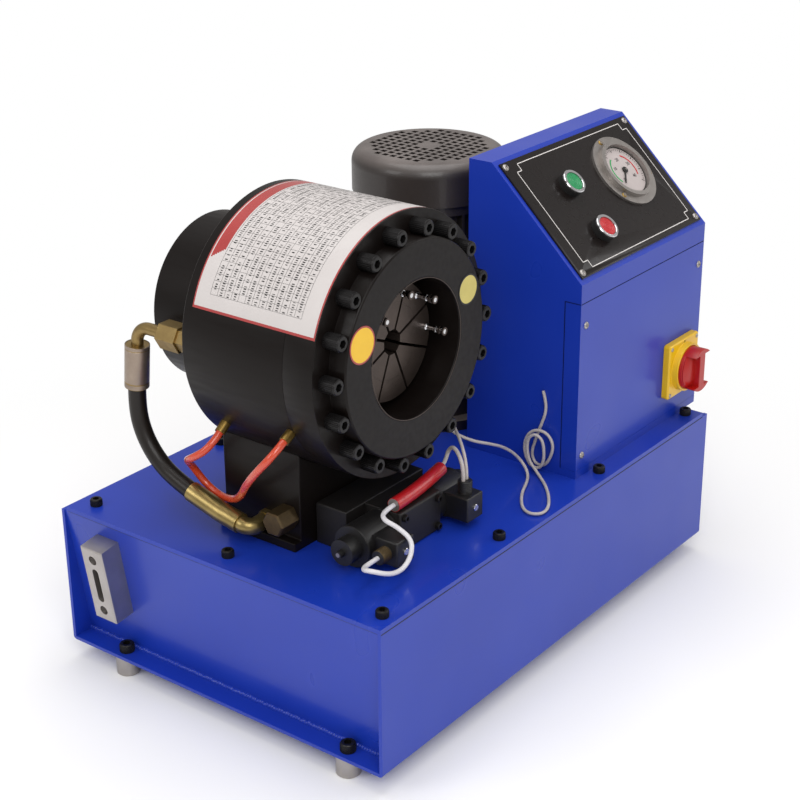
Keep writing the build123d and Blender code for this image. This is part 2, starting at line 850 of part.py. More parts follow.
needle_length = 23.0
needle_gap = 0.05
needle_lift = 1.0
needle_zero_turn = 225.0
with BuildPart() as gauge_needle:
    with BuildSketch(dial_face.offset(needle_lift)):
        Circle(4.0)
        turn = radians(needle_zero_turn)
        with Locations((needle_length / 2.6 * cos(turn), needle_length / 2.6 * sin(turn))):
            Rectangle(needle_length, 1.6, rotation=needle_zero_turn)
        Circle(pivot_radius + needle_gap, mode=Mode.SUBTRACT)
    extrude(amount=1.0)
save(gauge_needle, "gauge_needle")

# Main switch: plate with a raised ring, and a knob whose spindle runs in it.
switch_z = deck + switch_above_lid
switch_plane = Plane((switch_x, cabinet_front, switch_z), x_dir=(1, 0, 0), z_dir=(0, -1, 0))
switch_spindle = 6.0
with BuildPart() as switch_plate_part:
    with BuildSketch(switch_plane):
        RectangleRounded(switch_plate, switch_plate, 4.0)
    extrude(amount=switch_plate_thickness)
    chamfer(switch_plate_part.faces().sort_by(Axis.Y)[0].edges(), length=1.5)
    with BuildSketch(switch_plane.offset(switch_plate_thickness)):
        Circle(switch_ring_radius)
        Circle(switch_knob_radius + switch_clearance, mode=Mode.SUBTRACT)
    extrude(amount=switch_ring_height)
    with BuildSketch(switch_plane.offset(switch_plate_thickness)):
        Circle(switch_spindle + switch_clearance)
    extrude(amount=-0.7 * switch_plate_thickness, mode=Mode.SUBTRACT)
save(switch_plate_part, "switch_plate")

with BuildPart() as switch_knob:
    knob_lift = 0.3
    knob_base = switch_plane.offset(switch_plate_thickness + knob_lift)
    knob_rise = switch_ring_height + switch_knob_height - knob_lift
    with BuildSketch(knob_base):
        Circle(switch_knob_radius)
    extrude(amount=knob_rise)
    grip_depth = 13.0
    grip_half = 6.0
    with BuildSketch(knob_base.offset(knob_rise)):
        with Locations((grip_half + switch_knob_radius / 2, 0), (-grip_half - switch_knob_radius / 2, 0)):
            Rectangle(switch_knob_radius, 1.5 * switch_knob_radius)
    extrude(amount=-grip_depth, mode=Mode.SUBTRACT)
    with BuildSketch(knob_base):
        Circle(switch_spindle)
    extrude(amount=-0.6 * switch_plate_thickness)
save(switch_knob, "switch_knob")

# ---------------------------------------------------------------- valve block
block_x = -155.0
block_width = 130.0
block_back_gap = 2.0
block_depth = 40.0
block_height = 46.0
valve_width = 70.0
valve_depth = 46.0
valve_height = 45.0
coil_radius = 22.0
coil_length = 50.0
coil_nut_radius = 14.0
coil_nut_length = 16.0
override_radius = 4.0
override_length = 6.0
connector_size = 28.0
connector_depth = 27.0
connector_gland_radius = 7.5
connector_gland_length = 14.0

block_back = pedestal_y - block_back_gap
block_front = block_back - block_depth
with BuildPart() as valve_block:
    with BuildSketch(Plane.XY.offset(deck)):
        with Locations((block_x, (block_front + block_back) / 2)):
            Rectangle(block_width, block_depth)
    extrude(amount=block_height)
    chamfer(valve_block.faces().sort_by(Axis.Z)[-1].edges(), length=1.0)
save(valve_block, "valve_block")

valve_z = deck + 0.5 + valve_height / 2
valve_y = block_front - valve_depth / 2
with BuildPart() as valve_body:
    with BuildSketch(Plane.XZ.offset(-block_front)):
        with Locations((block_x, valve_z)):
            Rectangle(valve_width, valve_height)
    extrude(amount=valve_depth)
    chamfer(valve_body.faces().sort_by(Axis.Y)[0].edges(), length=1.5)
save(valve_body, "valve_body")

for side, name in ((-1, "left"), (1, "right")):
    coil_start = Plane(
        (block_x + side * valve_width / 2, valve_y, valve_z), x_dir=(0, 1, 0), z_dir=(side, 0, 0)
    )
    with BuildPart() as solenoid:
        with BuildSketch(coil_start):
            Circle(coil_radius)
        extrude(amount=coil_length)
        with BuildSketch(coil_start.offset(coil_length)):
            Circle(coil_nut_radius)
        extrude(amount=coil_nut_length)
        with BuildSketch(coil_start.offset(coil_length + coil_nut_length)):
            Circle(override_radius)
        extrude(amount=override_length)
        with BuildSketch(coil_start.offset(coil_length / 2)):
            with Locations((-coil_radius / 2, 0)):
                Rectangle(coil_radius, connector_size)
        extrude(amount=connector_size / 2, both=True)
    save(solenoid, f"solenoid_{name}")

    connector_x = block_x + side * (valve_width + coil_length) / 2
    connector_y = valve_y - coil_radius
    with BuildPart() as connector:
        with BuildSketch(Plane.XZ.offset(-connector_y)):
            with Locations((connector_x, valve_z)):
                RectangleRounded(connector_size, connector_size, 2.0)
        extrude(amount=connector_depth)
        chamfer(connector.faces().sort_by(Axis.Y)[0].edges(), length=1.0)
        # the left gland points to the left, the right one up
        gland_way = Vector(-1, 0, 0) if side < 0 else Vector(0, 0, 1)
        connector_middle = Vector(connector_x, connector_y - connector_depth / 2, valve_z)
        gland_foot = connector_middle + gland_way * (connector_size / 2)
        with BuildSketch(Plane(gland_foot, x_dir=(0, 1, 0), z_dir=gland_way)):
            Circle(connector_gland_radius)
        extrude(amount=connector_gland_length)
    save(connector, f"connector_{name}")

# Brass port plug in the left side of the pedestal.
port_plug_radius = 14.0
port_plug_length = 26.0
port_plug_back = 16.0
port_plug_up = 34.0
pedestal_left = head_x - pedestal_width / 2
with BuildPart() as port_plug:
    plug_plane = Plane(
        (pedestal_left, pedestal_y + port_plug_back, deck + port_plug_up),
        x_dir=(0, 1, 0),
        z_dir=(-1, 0, 0),
    )
    with BuildSketch(plug_plane):
        RegularPolygon(port_plug_radius, 6)
    extrude(amount=port_plug_length)
    chamfer(port_plug.faces().sort_by(Axis.X)[0].edges(), length=1.5)
save(port_plug, "port_plug")

# ---------------------------------------------------------------- pressure hose
hose_radius = 9.5
hose_bore = 6.35
hose_x = -272.0
# the hose's centre line from the ferrule down to the bent tail, as (y, z)
hose_route = [
    (137.5, 344.0),
    (141.0, 311.0),
    (134.0, 281.0),
    (116.0, 256.0),
    (90.0, 239.0),
    (58.0, 229.0),
]
ferrule_radius = 13.0
ferrule_length = 48.0


def arc_radii(points):
    """Radius of the arc at each inner point of a cord's route: 0.45 of the shorter run."""
    radii = []
    for before, point, after in zip(points, points[1:], points[2:]):
        a = Vector(*point) - Vector(*before)
        b = Vector(*after) - Vector(*point)
        half_turn = radians(a.get_angle(b)) / 2
        radii.append(0.45 * min(a.length, b.length) / tan(half_turn))
    return radii


def cord_tube(points, radius):
    """A round cord along straight runs joined by tangent arcs."""
    radii = arc_radii(points)
    with BuildPart() as tube:
        with BuildLine() as path:
            FilletPolyline(*points, radius=radii)
        route = path.wire()
        with BuildSketch(Plane(route @ 0, z_dir=route % 0)):
            Circle(radius)
        sweep(path=route)
    section = pi * radius**2 * route.length
    print("cord radii", [round(r, 1) for r in radii], "of diameter", 2 * radius)
    print("volume over section times length", round(tube.part.volume / section, 4))
    return tube


hose_points = [(hose_x, y, z) for y, z in hose_route]
hose = cord_tube(hose_points, hose_radius)
save(hose, "hose")

# Upper end of the hose: adapter and nut on the barrel's back, bent tube, ferrule.
adapter_circle = 118.0
adapter_radius = 13.0
adapter_length = 16.0
nut_radius = 15.5
nut_length = 26.0
elbow_radius = 6.5
elbow_bend = 19.0
hose_grip = 10.0
hose_fit = 0.1
hose_start = Vector(*hose_points[0])
hose_down = (Vector(*hose_points[1]) - hose_start).normalized()
ferrule_end = hose_start + hose_down * hose_grip
ferrule_start = ferrule_end - hose_down * ferrule_length
nut_end_y = barrel_back + adapter_length + nut_length
bend_corner = ferrule_start + hose_down * ((axis_z - ferrule_start.Z) / hose_down.Z)
with BuildPart() as hose_elbow:
    with BuildSketch(Plane.XZ.offset(-barrel_back)):
        with Locations((head_x - adapter_circle, axis_z)):
            RegularPolygon(adapter_radius, 6)
    extrude(amount=-adapter_length)
    with BuildSketch(Plane.XZ.offset(-(barrel_back + adapter_length))):
        with Locations((head_x - adapter_circle, axis_z)):
            RegularPolygon(nut_radius, 6)
    extrude(amount=-nut_length)
    with BuildLine() as bend:
        elbow_inset = 4.0
        elbow_start = (hose_x, nut_end_y - elbow_inset, axis_z)
        elbow_end = ferrule_start + hose_down * elbow_inset
        FilletPolyline(elbow_start, bend_corner, elbow_end, radius=elbow_bend)
    bend_wire = bend.wire()
    with BuildSketch(Plane(bend_wire @ 0, z_dir=bend_wire % 0)):
        Circle(elbow_radius)
    sweep(path=bend_wire)
    with BuildSketch(Plane(ferrule_start, z_dir=hose_down)):
        Circle(ferrule_radius)
    extrude(amount=ferrule_length)
    with BuildSketch(Plane(ferrule_end, z_dir=hose_down)):
        Circle(hose_radius + hose_fit)
    extrude(amount=-(hose_grip + hose_fit), mode=Mode.SUBTRACT)
save(hose_elbow, "hose_elbow")

# Lower end: plated tail that the hose is crimped into, and the elbow into the pedestal.
tail_outer = 11.0
tail_corner = (27.0, 220.5)
tail_tip = (0.0, 215.5)
hose_end = Vector(*hose_points[-1])
hose_on = (hose_end - Vector(*hose_points[-2])).normalized()
tail_start = hose_end - hose_on * hose_grip
tail_wire_points = (tail_start, (hose_x, *tail_corner), (hose_x, *tail_tip))
tail_bend = 60.0
with BuildPart() as hose_tail:
    with BuildLine() as tail_line:
        FilletPolyline(*tail_wire_points, radius=tail_bend)
    tail_wire = tail_line.wire()
    with BuildSketch(Plane(tail_wire @ 0, z_dir=tail_wire % 0)):
        Circle(tail_outer)
    sweep(path=tail_wire)
    mouth_slack = 1.0  # the bore starts this far behind the tail's slanting end
    with BuildSketch(Plane(tail_start - hose_on * mouth_slack, z_dir=hose_on)):
        Circle(hose_radius + hose_fit)
    extrude(amount=hose_grip + hose_fit + mouth_slack, mode=Mode.SUBTRACT)

    # the elbow that it screws into, on the side of the pedestal
    elbow_body = 9.0
    elbow_turn = 10.0
    tail_out = tail_wire % 1
    tail_face = tail_wire @ 1
    with BuildLine() as turn_line:
        turn_corner = tail_face + tail_out * 1.3 * elbow_turn
        turn_end = Vector(pedestal_left, turn_corner.Y, turn_corner.Z)
        FilletPolyline(tail_face, turn_corner, turn_end, radius=elbow_turn)
    turn_wire = turn_line.wire()
    with BuildSketch(Plane(turn_wire @ 0, z_dir=turn_wire % 0)):
        Circle(elbow_body)
    sweep(path=turn_wire)
    hex_length = 8.0
    with BuildSketch(Plane(turn_end, x_dir=(0, 1, 0), z_dir=(-1, 0, 0))):
        RegularPolygon(1.25 * elbow_body, 6)
    extrude(amount=hex_length)
save(hose_tail, "hose_tail")

# ---------------------------------------------------------------- drain tube
drain_radius = 4.0
drain_fitting_radius = 5.5
drain_fitting_length = 12.0
drain_lead = 20.0
drain_seats = ((-153.0, -78.0), (-143.0, 21.0))  # turn about the head's axis, and y


def drain_seat(turn, y, out):
    """A point out from the barrel's skin, with the way out."""
    way = Vector(cos(radians(turn)), 0, sin(radians(turn)))
    return Vector(head_x, y, axis_z) + way * (barrel_radius + out), way


with BuildPart() as drain_fittings:
    for turn, y in drain_seats:
        foot, way = drain_seat(turn, y, 0.0)
        seat_dip = 1.5
        with BuildSketch(Plane(foot - way * seat_dip, z_dir=way)):
            Circle(drain_fitting_radius)
        extrude(amount=drain_fitting_length + seat_dip)
    with BuildPart(mode=Mode.PRIVATE) as barrel_skin:
        profile = ring_profile(
            [
                (0, cover_face),
                (barrel_radius, cover_face),
                (barrel_radius, barrel_back),
                (0, barrel_back),
            ]
        )
        revolve(profile, axis=head_axis)
    add(barrel_skin.part, mode=Mode.SUBTRACT)
save(drain_fittings, "drain_fittings")

drain_ends = [drain_seat(turn, y, drain_fitting_length)[0] for turn, y in drain_seats]
drain_leads = [drain_seat(turn, y, drain_fitting_length + drain_lead)[0] for turn, y in drain_seats]
drain_route = [
    tuple(drain_ends[0]),
    tuple(drain_leads[0]),
    (-306.0, -57.0, 303.0),
    (-297.0, -34.0, 279.0),
    (-281.0, -12.0, 255.0),
    (-265.0, 12.0, 236.0),
    (-256.0, 40.0, 227.0),
    (-255.0, 64.0, 236.0),
    (-264.0, 72.0, 257.0),
    (-282.0, 62.0, 274.0),
    (-296.0, 42.0, 286.0),
    tuple(drain_leads[1]),
    tuple(drain_ends[1]),
]
drain_tube = cord_tube(drain_route, drain_radius)
save(drain_tube, "drain_tube")

# ---------------------------------------------------------------- wiring of the valve
solenoid_cable_radius = 2.5
sleeve_radius = 7.5
lead_radius = 2.2
loose_cable_radius = 1.75
gland_reach = connector_size / 2 + connector_gland_length
gland_y = valve_y - coil_radius - connector_depth / 2
left_gland_x = block_x - (valve_width + coil_length) / 2 - gland_reach
right_gland_x = block_x + (valve_width + coil_length) / 2
right_gland_top = valve_z + gland_reach
solenoid_lead = 19.0  # straight run at both ends of the white cable
cable_spread = 3.0  # the two cables that share the right gland stand this far off its middle

# White cable from the left connector, round in front of it and up into the sleeve.
sleeve_route = [
    (-190.0, -136.0, 244.0),
    (-143.0, -134.0, 243.6),
    (-98.0, -127.0, 247.0),
]
sleeve_start = Vector(*sleeve_route[0])
sleeve_way = (Vector(*sleeve_route[1]) - sleeve_start).normalized()
solenoid_route = [
    (left_gland_x, gland_y, valve_z),
    (left_gland_x - solenoid_lead, gland_y, valve_z),
    (-276.0, -164.0, 217.0),
    (-280.0, -177.0, 222.0),
    (-270.0, -184.0, 217.0),
    (-253.0, -184.0, 209.0),
    (-234.0, -182.0, 206.0),
    (-219.0, -180.0, 213.0),
    (-211.0, -175.0, 226.0),
    (-216.0, -160.0, 238.0),
    (-220.0, -146.0, 243.0),
    tuple(sleeve_start - sleeve_way * solenoid_lead),
    tuple(sleeve_start),
]
solenoid_cable = cord_tube(solenoid_route, solenoid_cable_radius)
save(solenoid_cable, "solenoid_cable")

# Red sleeve over the valve's top, with a thin lead that goes on from it to the right gland.
lead_route = [
    sleeve_route[-1],
    (-86.0, -124.0, 249.0),
    (-81.0, -125.0, 262.0),
    (-86.0, -135.0, 270.0),
    (-93.0, -148.0, 266.0),
    (right_gland_x - cable_spread, gland_y, 254.0),
    (right_gland_x - cable_spread, gland_y, right_gland_top),
]
sleeve = cord_tube(sleeve_route, sleeve_radius)
lead = cord_tube(lead_route, lead_radius)
with BuildPart() as cable_sleeve:
    add(sleeve.part)
    add(lead.part)
save(cable_sleeve, "cable_sleeve")

# Spare cable: up behind the cover's rim, back down to the lid, round in a ring and then up in
# two long loops that lean on the cabinet, to a bare end.
loose_route = [
    (right_gland_x + cable_spread, gland_y, right_gland_top),
    (right_gland_x + cable_spread, gland_y, 254.0),
    (-82.0, -145.0, 267.0),
    (-66.0, -126.0, 275.0),
    (-54.0, -108.0, 281.0),
    (-52.0, -92.0, 282.0),
    (-44.0, -82.0, 274.0),
    (-36.0, -88.0, 262.0),
    (-32.0, -103.0, 254.0),
    (-22.0, -117.0, 247.0),
    (-3.0, -124.0, 239.0),
    (17.0, -127.0, 229.0),
    (34.0, -131.0, 216.0),
    (42.0, -138.0, 203.0),
    (37.0, -149.0, 194.5),
    (19.0, -159.0, 193.0),
    (-2.0, -167.0, 193.0),
    (-22.0, -179.0, 193.0),
    (-36.0, -191.0, 193.0),
    (-41.0, -203.0, 193.0),
    (-34.0, -213.0, 193.0),
    (-19.0, -212.0, 193.0),
    (4.0, -198.0, 193.0),
    (25.0, -180.0, 193.0),
    (37.0, -166.0, 193.5),
    (45.0, -154.0, 196.0),
    (47.0, -143.0, 205.0),
    (48.0, -139.0, 220.0),
    (48.3, -141.0, 233.0),
    (48.7, -150.0, 239.0),
    (49.2, -159.0, 233.0),
    (49.5, -161.0, 219.0),
    (50.0, -160.0, 206.0),
    (50.6, -154.0, 196.5),
    (52.0, -142.0, 196.0),
    (53.5, -134.0, 206.0),
    (54.5, -131.0, 219.0),
    (55.0, -136.0, 234.0),
    (55.5, -148.0, 241.5),
    (56.0, -162.0, 239.0),
    (56.5, -169.0, 226.0),
    (57.0, -164.0, 209.0),
    (58.0, -156.0, 197.5),
    (59.5, -143.0, 196.5),
    (60.3, -137.0, 208.0),
    (60.0, -143.0, 227.0),
    (60.3, -149.0, 245.0),
    (60.0, -155.0, 261.0),
    (60.3, -155.0, 275.0),
    (60.0, -151.0, 287.0),
]
loose_cable = cord_tube(loose_route, loose_cable_radius)
save(loose_cable, "loose_cable")
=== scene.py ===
"""Looks for a hose crimping machine: finishes, screws, cords, panel and lighting."""

import math

import bmesh
import bpy
from bpy.props import FloatProperty, FloatVectorProperty, IntProperty, PointerProperty
from bpy.types import Operator, Panel, PropertyGroup
from mathutils import Matrix, Vector


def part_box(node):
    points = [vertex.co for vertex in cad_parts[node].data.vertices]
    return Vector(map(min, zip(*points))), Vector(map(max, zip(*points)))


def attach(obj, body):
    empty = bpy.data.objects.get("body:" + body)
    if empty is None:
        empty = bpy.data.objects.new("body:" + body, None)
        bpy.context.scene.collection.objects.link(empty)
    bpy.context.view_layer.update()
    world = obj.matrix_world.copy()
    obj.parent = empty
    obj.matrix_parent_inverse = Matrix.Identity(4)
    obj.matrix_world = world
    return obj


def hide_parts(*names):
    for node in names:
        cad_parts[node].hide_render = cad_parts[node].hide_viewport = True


bl_info = {
    "name": "Hose crimping machine",
    "version": (1, 0, 0),
    "blender": (4, 5, 0),
    "location": "View3D > Sidebar > Crimper",
    "description": "Builds the finishes and the fine pieces of a bench hose crimping machine",
    "category": "Object",
}

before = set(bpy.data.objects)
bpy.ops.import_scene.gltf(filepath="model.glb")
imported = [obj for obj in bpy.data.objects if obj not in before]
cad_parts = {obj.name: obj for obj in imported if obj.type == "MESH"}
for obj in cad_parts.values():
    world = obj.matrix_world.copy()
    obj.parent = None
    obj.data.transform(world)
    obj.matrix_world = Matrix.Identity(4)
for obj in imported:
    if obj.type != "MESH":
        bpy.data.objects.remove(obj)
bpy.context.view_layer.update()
MM = 0.001
UP, FRONT, LEFT, RIGHT = (0, 0, 1), (0, -1, 0), (-1, 0, 0), (1, 0, 0)


# ------------------------------------------------------------------ small helpers
def linear(code, alpha=1.0):
    """An sRGB hex colour as linear RGBA."""
    parts = [int(code[i : i + 2], 16) / 255 for i in (1, 3, 5)]
    parts = [c / 12.92 if c <= 0.04045 else ((c + 0.055) / 1.055) ** 2.4 for c in parts]
    return (*parts, alpha)


def node(tree, kind, inputs=None, **settings):
    """Adds a node to a tree, with its settings, input values and links."""
    made = tree.nodes.new(kind)
    for key, value in settings.items():
        setattr(made, key, value)
    for key, value in (inputs or {}).items():
        socket = made.inputs[key]
        if isinstance(value, bpy.types.NodeSocket):
            tree.links.new(value, socket)
        else:
            socket.default_value = value
    return made


def maths(tree, operation, a, b=0.0):
    """A sum inside a tree."""
    return node(tree, "ShaderNodeMath", {0: a, 1: b}, operation=operation).outputs[0]


def start_material(name):
    """An empty material with a Principled shader on its output."""
    made = bpy.data.materials.new(name)
    made.use_nodes = True
    tree = made.node_tree
    tree.nodes.clear()
    shader = node(tree, "ShaderNodeBsdfPrincipled")
    node(tree, "ShaderNodeOutputMaterial", {"Surface": shader.outputs[0]})
    return made, tree, shader


def tone(value):
    """A hex code or a colour setting as linear RGBA."""
    return linear(value) if isinstance(value, str) else (*value, 1.0)


def finish(name, light, dark, rough, metal=0.0, coat=0.0, patch=60, grain=3.0, relief=0.01,
           spread=0.08, stretch=(1, 1, 1), dust=None, shine=0.5, detail=2.0):
    """A material with patchy colour, uneven gloss and a fine relief, all sized in millimetres.

    light and dark are its two colours, patch and grain the pattern sizes, relief its height.
    stretch draws the grain out along an axis, as brushing does; dust settles on upper faces.
    """
    made, tree, shader = start_material(name)
    place = node(tree, "ShaderNodeTexCoord").outputs["Object"]
    patches = node(tree, "ShaderNodeTexNoise", {"Vector": place, "Scale": 1000 / patch, "Detail": 4.0})
    drawn = node(tree, "ShaderNodeMapping", {"Vector": place, "Scale": stretch})
    grains = node(
        tree, "ShaderNodeTexNoise",
        {"Vector": drawn.outputs[0], "Scale": 1000 / grain, "Detail": detail, "Roughness": 0.5},
    )
    colour = node(
        tree, "ShaderNodeMix",
        {"Factor": patches.outputs["Fac"], 6: tone(light), 7: tone(dark)}, data_type="RGBA",
    ).outputs[2]
    if dust:
        normal = node(tree, "ShaderNodeNewGeometry").outputs["Normal"]
        up = node(tree, "ShaderNodeSeparateXYZ", {0: normal}).outputs["Z"]
        level = node(
            tree, "ShaderNodeMapRange", {"Value": up, "From Min": 0.35, "From Max": 1.0, "To Max": 0.75},
        )
        settled = node(
            tree, "ShaderNodeMath", {0: level.outputs[0], 1: patches.outputs["Fac"]},
            operation="MULTIPLY",
        )
        colour = node(
            tree, "ShaderNodeMix",
            {"Factor": settled.outputs[0], 6: colour, 7: linear(dust)}, data_type="RGBA",
        ).outputs[2]
    gloss = node(
        tree, "ShaderNodeMapRange",
        {"Value": grains.outputs["Fac"], "From Min": 0.1, "From Max": 0.9,
         "To Min": max(rough - spread, 0.03), "To Max": rough + spread},
        interpolation_type="SMOOTHSTEP",
    )
    bump = node(
        tree, "ShaderNodeBump",
        {"Height": grains.outputs["Fac"], "Distance": relief * MM, "Strength": 1.0},
    )
    tree.links.new(colour, shader.inputs["Base Color"])
    tree.links.new(gloss.outputs[0], shader.inputs["Roughness"])
    tree.links.new(bump.outputs[0], shader.inputs["Normal"])
    shader.inputs["Metallic"].default_value = metal
    shader.inputs["Coat Weight"].default_value = coat
    shader.inputs["Coat Roughness"].default_value = 0.06
    shader.inputs["Specular IOR Level"].default_value = shine
    return made


finishes = {}


def wear(names, material):
    """Gives CAD nodes a material."""
    for name in names.split():
        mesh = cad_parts[name].data
        mesh.materials.clear()
        mesh.materials.append(finishes[material])


def linked(name, data):
    """A new object in the scene that shows the data."""
    made = bpy.data.objects.new(name, data)
    bpy.context.scene.collection.objects.link(made)
    return made


def piece(name, mesh, material, body, smooth=False):
    """A finished piece: its mesh is in place already, so its object sits at the origin."""
    made = linked(name, mesh)
    mesh.materials.clear()
    mesh.materials.append(finishes[material])
    for face in mesh.polygons:
        face.use_smooth = smooth
    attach(made, body)
    return made


def kept(bm, name, place=None):
    """Turns a bmesh into a mesh in its place, and frees it."""
    mesh = bpy.data.meshes.new(name)
    bm.to_mesh(mesh)
    bm.free()
    if place is not None:
        mesh.transform(place)
    return mesh


def mesh_of(bm, name, place=None):
    """The same, with its doubles merged and its faces turned outwards."""
    bmesh.ops.remove_doubles(bm, verts=bm.verts, dist=1e-6)
    bmesh.ops.recalc_face_normals(bm, faces=bm.faces)
    return kept(bm, name, place)


def turned(profile, steps=64):
    """A bmesh turned about Z from (radius, height) points in millimetres."""
    bm = bmesh.new()
    rings = []
    for i in range(steps):
        a = 2 * math.pi * i / steps
        rings.append([
            bm.verts.new((r * MM * math.cos(a), r * MM * math.sin(a), z * MM)) for r, z in profile
        ])
    for i in range(steps):
        a, b = rings[i], rings[(i + 1) % steps]
        for j in range(len(profile) - 1):
            corners = [a[j], b[j], b[j + 1], a[j + 1]]
            if len({tuple(round(c, 7) for c in v.co) for v in corners}) > 2:
                bm.faces.new(corners)
    return bm


def facing(origin, out, along=(1, 0, 0)):
    """A matrix whose +Z points out and whose +X lies near along, at origin in millimetres."""
    z = Vector(out).normalized()
    x = Vector(along)
    x = (x - z * x.dot(z)).normalized()
    y = z.cross(x)
    turn = Matrix((x, y, z)).transposed().to_4x4()
    return Matrix.Translation(Vector(origin) * MM) @ turn


def new_tree(name, inputs):
    """A Geometry Nodes tree with named inputs, and its input and output nodes."""
    tree = bpy.data.node_groups.new(name, "GeometryNodeTree")
    tree.interface.new_socket("Geometry", in_out="INPUT", socket_type="NodeSocketGeometry")
    for label, kind, value in inputs:
        socket = tree.interface.new_socket(label, in_out="INPUT", socket_type=kind)
        if value is not None:
            socket.default_value = value
    tree.interface.new_socket("Geometry", in_out="OUTPUT", socket_type="NodeSocketGeometry")
    return tree, tree.nodes.new("NodeGroupInput"), tree.nodes.new("NodeGroupOutput")


def close_tree(tree, given, result, shape):
    """Ends a tree in Realize Instances and Set Material."""
    real = node(tree, "GeometryNodeRealizeInstances", {"Geometry": shape})
    dressed = node(
        tree, "GeometryNodeSetMaterial",
        {"Geometry": real.outputs[0], "Material": given.outputs["Material"]},
    )
    tree.links.new(dressed.outputs[0], result.inputs[0])
    return tree


def grow(name, source, tree, values, material, body, place=None, smooth=False):
    """Runs a tree on a source mesh and keeps the result as a plain mesh."""
    maker = linked(name + "_maker", source)
    modifier = maker.modifiers.new("shape", "NODES")
    modifier.node_group = tree
    values = {"Material": finishes[material], **values}
    for item in tree.interface.items_tree:
        if item.in_out == "INPUT" and item.name in values:
            modifier[item.identifier] = values[item.name]
    bpy.context.view_layer.update()
    graph = bpy.context.evaluated_depsgraph_get()
    mesh = bpy.data.meshes.new_from_object(maker.evaluated_get(graph))
    maker.modifiers.remove(modifier)
    bpy.data.objects.remove(maker)
    if place is not None:
        mesh.transform(place)
    return piece(name, mesh, material, body, smooth)


def one_point(name):
    """A mesh of a single point at the origin, for a tree that lays out its own copies."""
    return points_mesh(name, [((0, 0, 0), UP)])


def points_mesh(name, places):
    """A mesh of loose points, each with the way out at it, from (point in mm, way) pairs."""
    mesh = bpy.data.meshes.new(name)
    mesh.from_pydata([Vector(p) * MM for p, way in places], [], [])
    ways = mesh.attributes.new("way", "FLOAT_VECTOR", "POINT")
    for i, (p, way) in enumerate(places):
        ways.data[i].vector = way
    return mesh


def words(name, text, size, place, material, body, rise=0.12):
    """Flat lettering, turned into a mesh before it takes its place."""
    curve = bpy.data.curves.new(name, "FONT")
    curve.body = text
    curve.size = size * MM
    curve.extrude = rise * MM / 2
    curve.resolution_u = 3
    curve.align_x = "CENTER"
    curve.align_y = "CENTER"
    maker = linked(name + "_maker", curve)
    graph = bpy.context.evaluated_depsgraph_get()
    mesh = bpy.data.meshes.new_from_object(maker.evaluated_get(graph))
    bpy.data.objects.remove(maker)
    mesh.transform(place)
    return piece(name, mesh, material, body)


# ------------------------------------------------------------------ places, in millimetres
barrel_low, barrel_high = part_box("barrel")
HEAD_X = (barrel_low.x + barrel_high.x) / 2 / MM
AXIS_Z = (barrel_low.z + barrel_high.z) / 2 / MM
BARREL_RADIUS = 138.0
COVER_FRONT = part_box("front_cover")[0].y / MM
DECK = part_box("tank_lid")[1].z / MM
cabinet_low, cabinet_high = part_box("cabinet")
CAB_LEFT, CAB_RIGHT = cabinet_low.x / MM, cabinet_high.x / MM
CAB_FRONT = cabinet_low.y / MM
# The cabinet's front bends back at the knee, and runs and rises this far to its top.
KNEE = 418.0
SLOPE_RUN, SLOPE_RISE = 118.0, 115.0
SLOPE_LENGTH = math.hypot(SLOPE_RUN, SLOPE_RISE)
SLOPE_UP = Vector((0, SLOPE_RUN, SLOPE_RISE)) / SLOPE_LENGTH
SLOPE_OUT = Vector((0, -SLOPE_RISE, SLOPE_RUN)) / SLOPE_LENGTH
PANEL_THICK = 2.0
# The gauge and the push buttons, along and up the slope from its lower left corner.
GAUGE_ALONG, GAUGE_UP = 192.0, 96.5
BUTTON_ALONG, CLOSE_UP, OPEN_UP = 88.0, 106.0, 44.5
# The middle of the switch plate's face.
switch_low, switch_high = (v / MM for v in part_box("switch_plate"))
SWITCH_X, SWITCH_Z = (switch_low.x + switch_high.x) / 2, (switch_low.z + switch_high.z) / 2
SWITCH_FACE = CAB_FRONT - 9.0


def on_slope(along, up, height=0.0):
    """A matrix on the sloping panel, from its lower left corner."""
    spot = Vector((CAB_LEFT + along, CAB_FRONT, KNEE)) + SLOPE_UP * up
    spot += SLOPE_OUT * (PANEL_THICK + height)
    return facing(spot, SLOPE_OUT)


# ------------------------------------------------------------------ settings
def colour(name, code, text):
    """A colour setting from a hex code."""
    return FloatVectorProperty(
        name=name, description=text, subtype="COLOR", size=3, min=0, max=1, default=linear(code)[:3]
    )


class CrimperScrews(PropertyGroup):
    """Sizes of the screws."""

    flange_head: FloatProperty(
        name="Flange head", description="Radius of the flange screws' heads", default=8 * MM,
        unit="LENGTH",
    )
    lid_head: FloatProperty(
        name="Lid head", description="Radius of the lid screws' heads", default=6.4 * MM,
        unit="LENGTH",
    )
    knurls: IntProperty(name="Knurls", description="Ridges round a screw head", default=28, min=8)


class CrimperColours(PropertyGroup):
    """Colours of the enamel and the plastics, each with a deeper tone for its patches."""

    enamel: colour("Enamel", "#1a3aad", "Gloss enamel on the tank and the cabinet")
    enamel_deep: colour("Enamel, deep", "#15319d", "The same enamel where its film is thicker")
    close_cap: colour("Close button", "#159356", "Cap of the button that closes the dies")
    close_cap_deep: colour("Close button, deep", "#0f7a46", "Deeper tone of the same cap")
    open_cap: colour("Open button", "#c4151d", "Cap of the button that opens the dies")
    open_cap_deep: colour("Open button, deep", "#a80f18", "Deeper tone of the same cap")
    switch: colour("Switch plate", "#e9bd12", "Plastic of the main switch's plate")
    switch_deep: colour("Switch plate, deep", "#dcae0a", "Deeper tone of the same plate")
    knob: colour("Switch knob", "#b5130c", "Plastic of the main switch's knob")
    knob_deep: colour("Switch knob, deep", "#9e0f0a", "Deeper tone of the same knob")


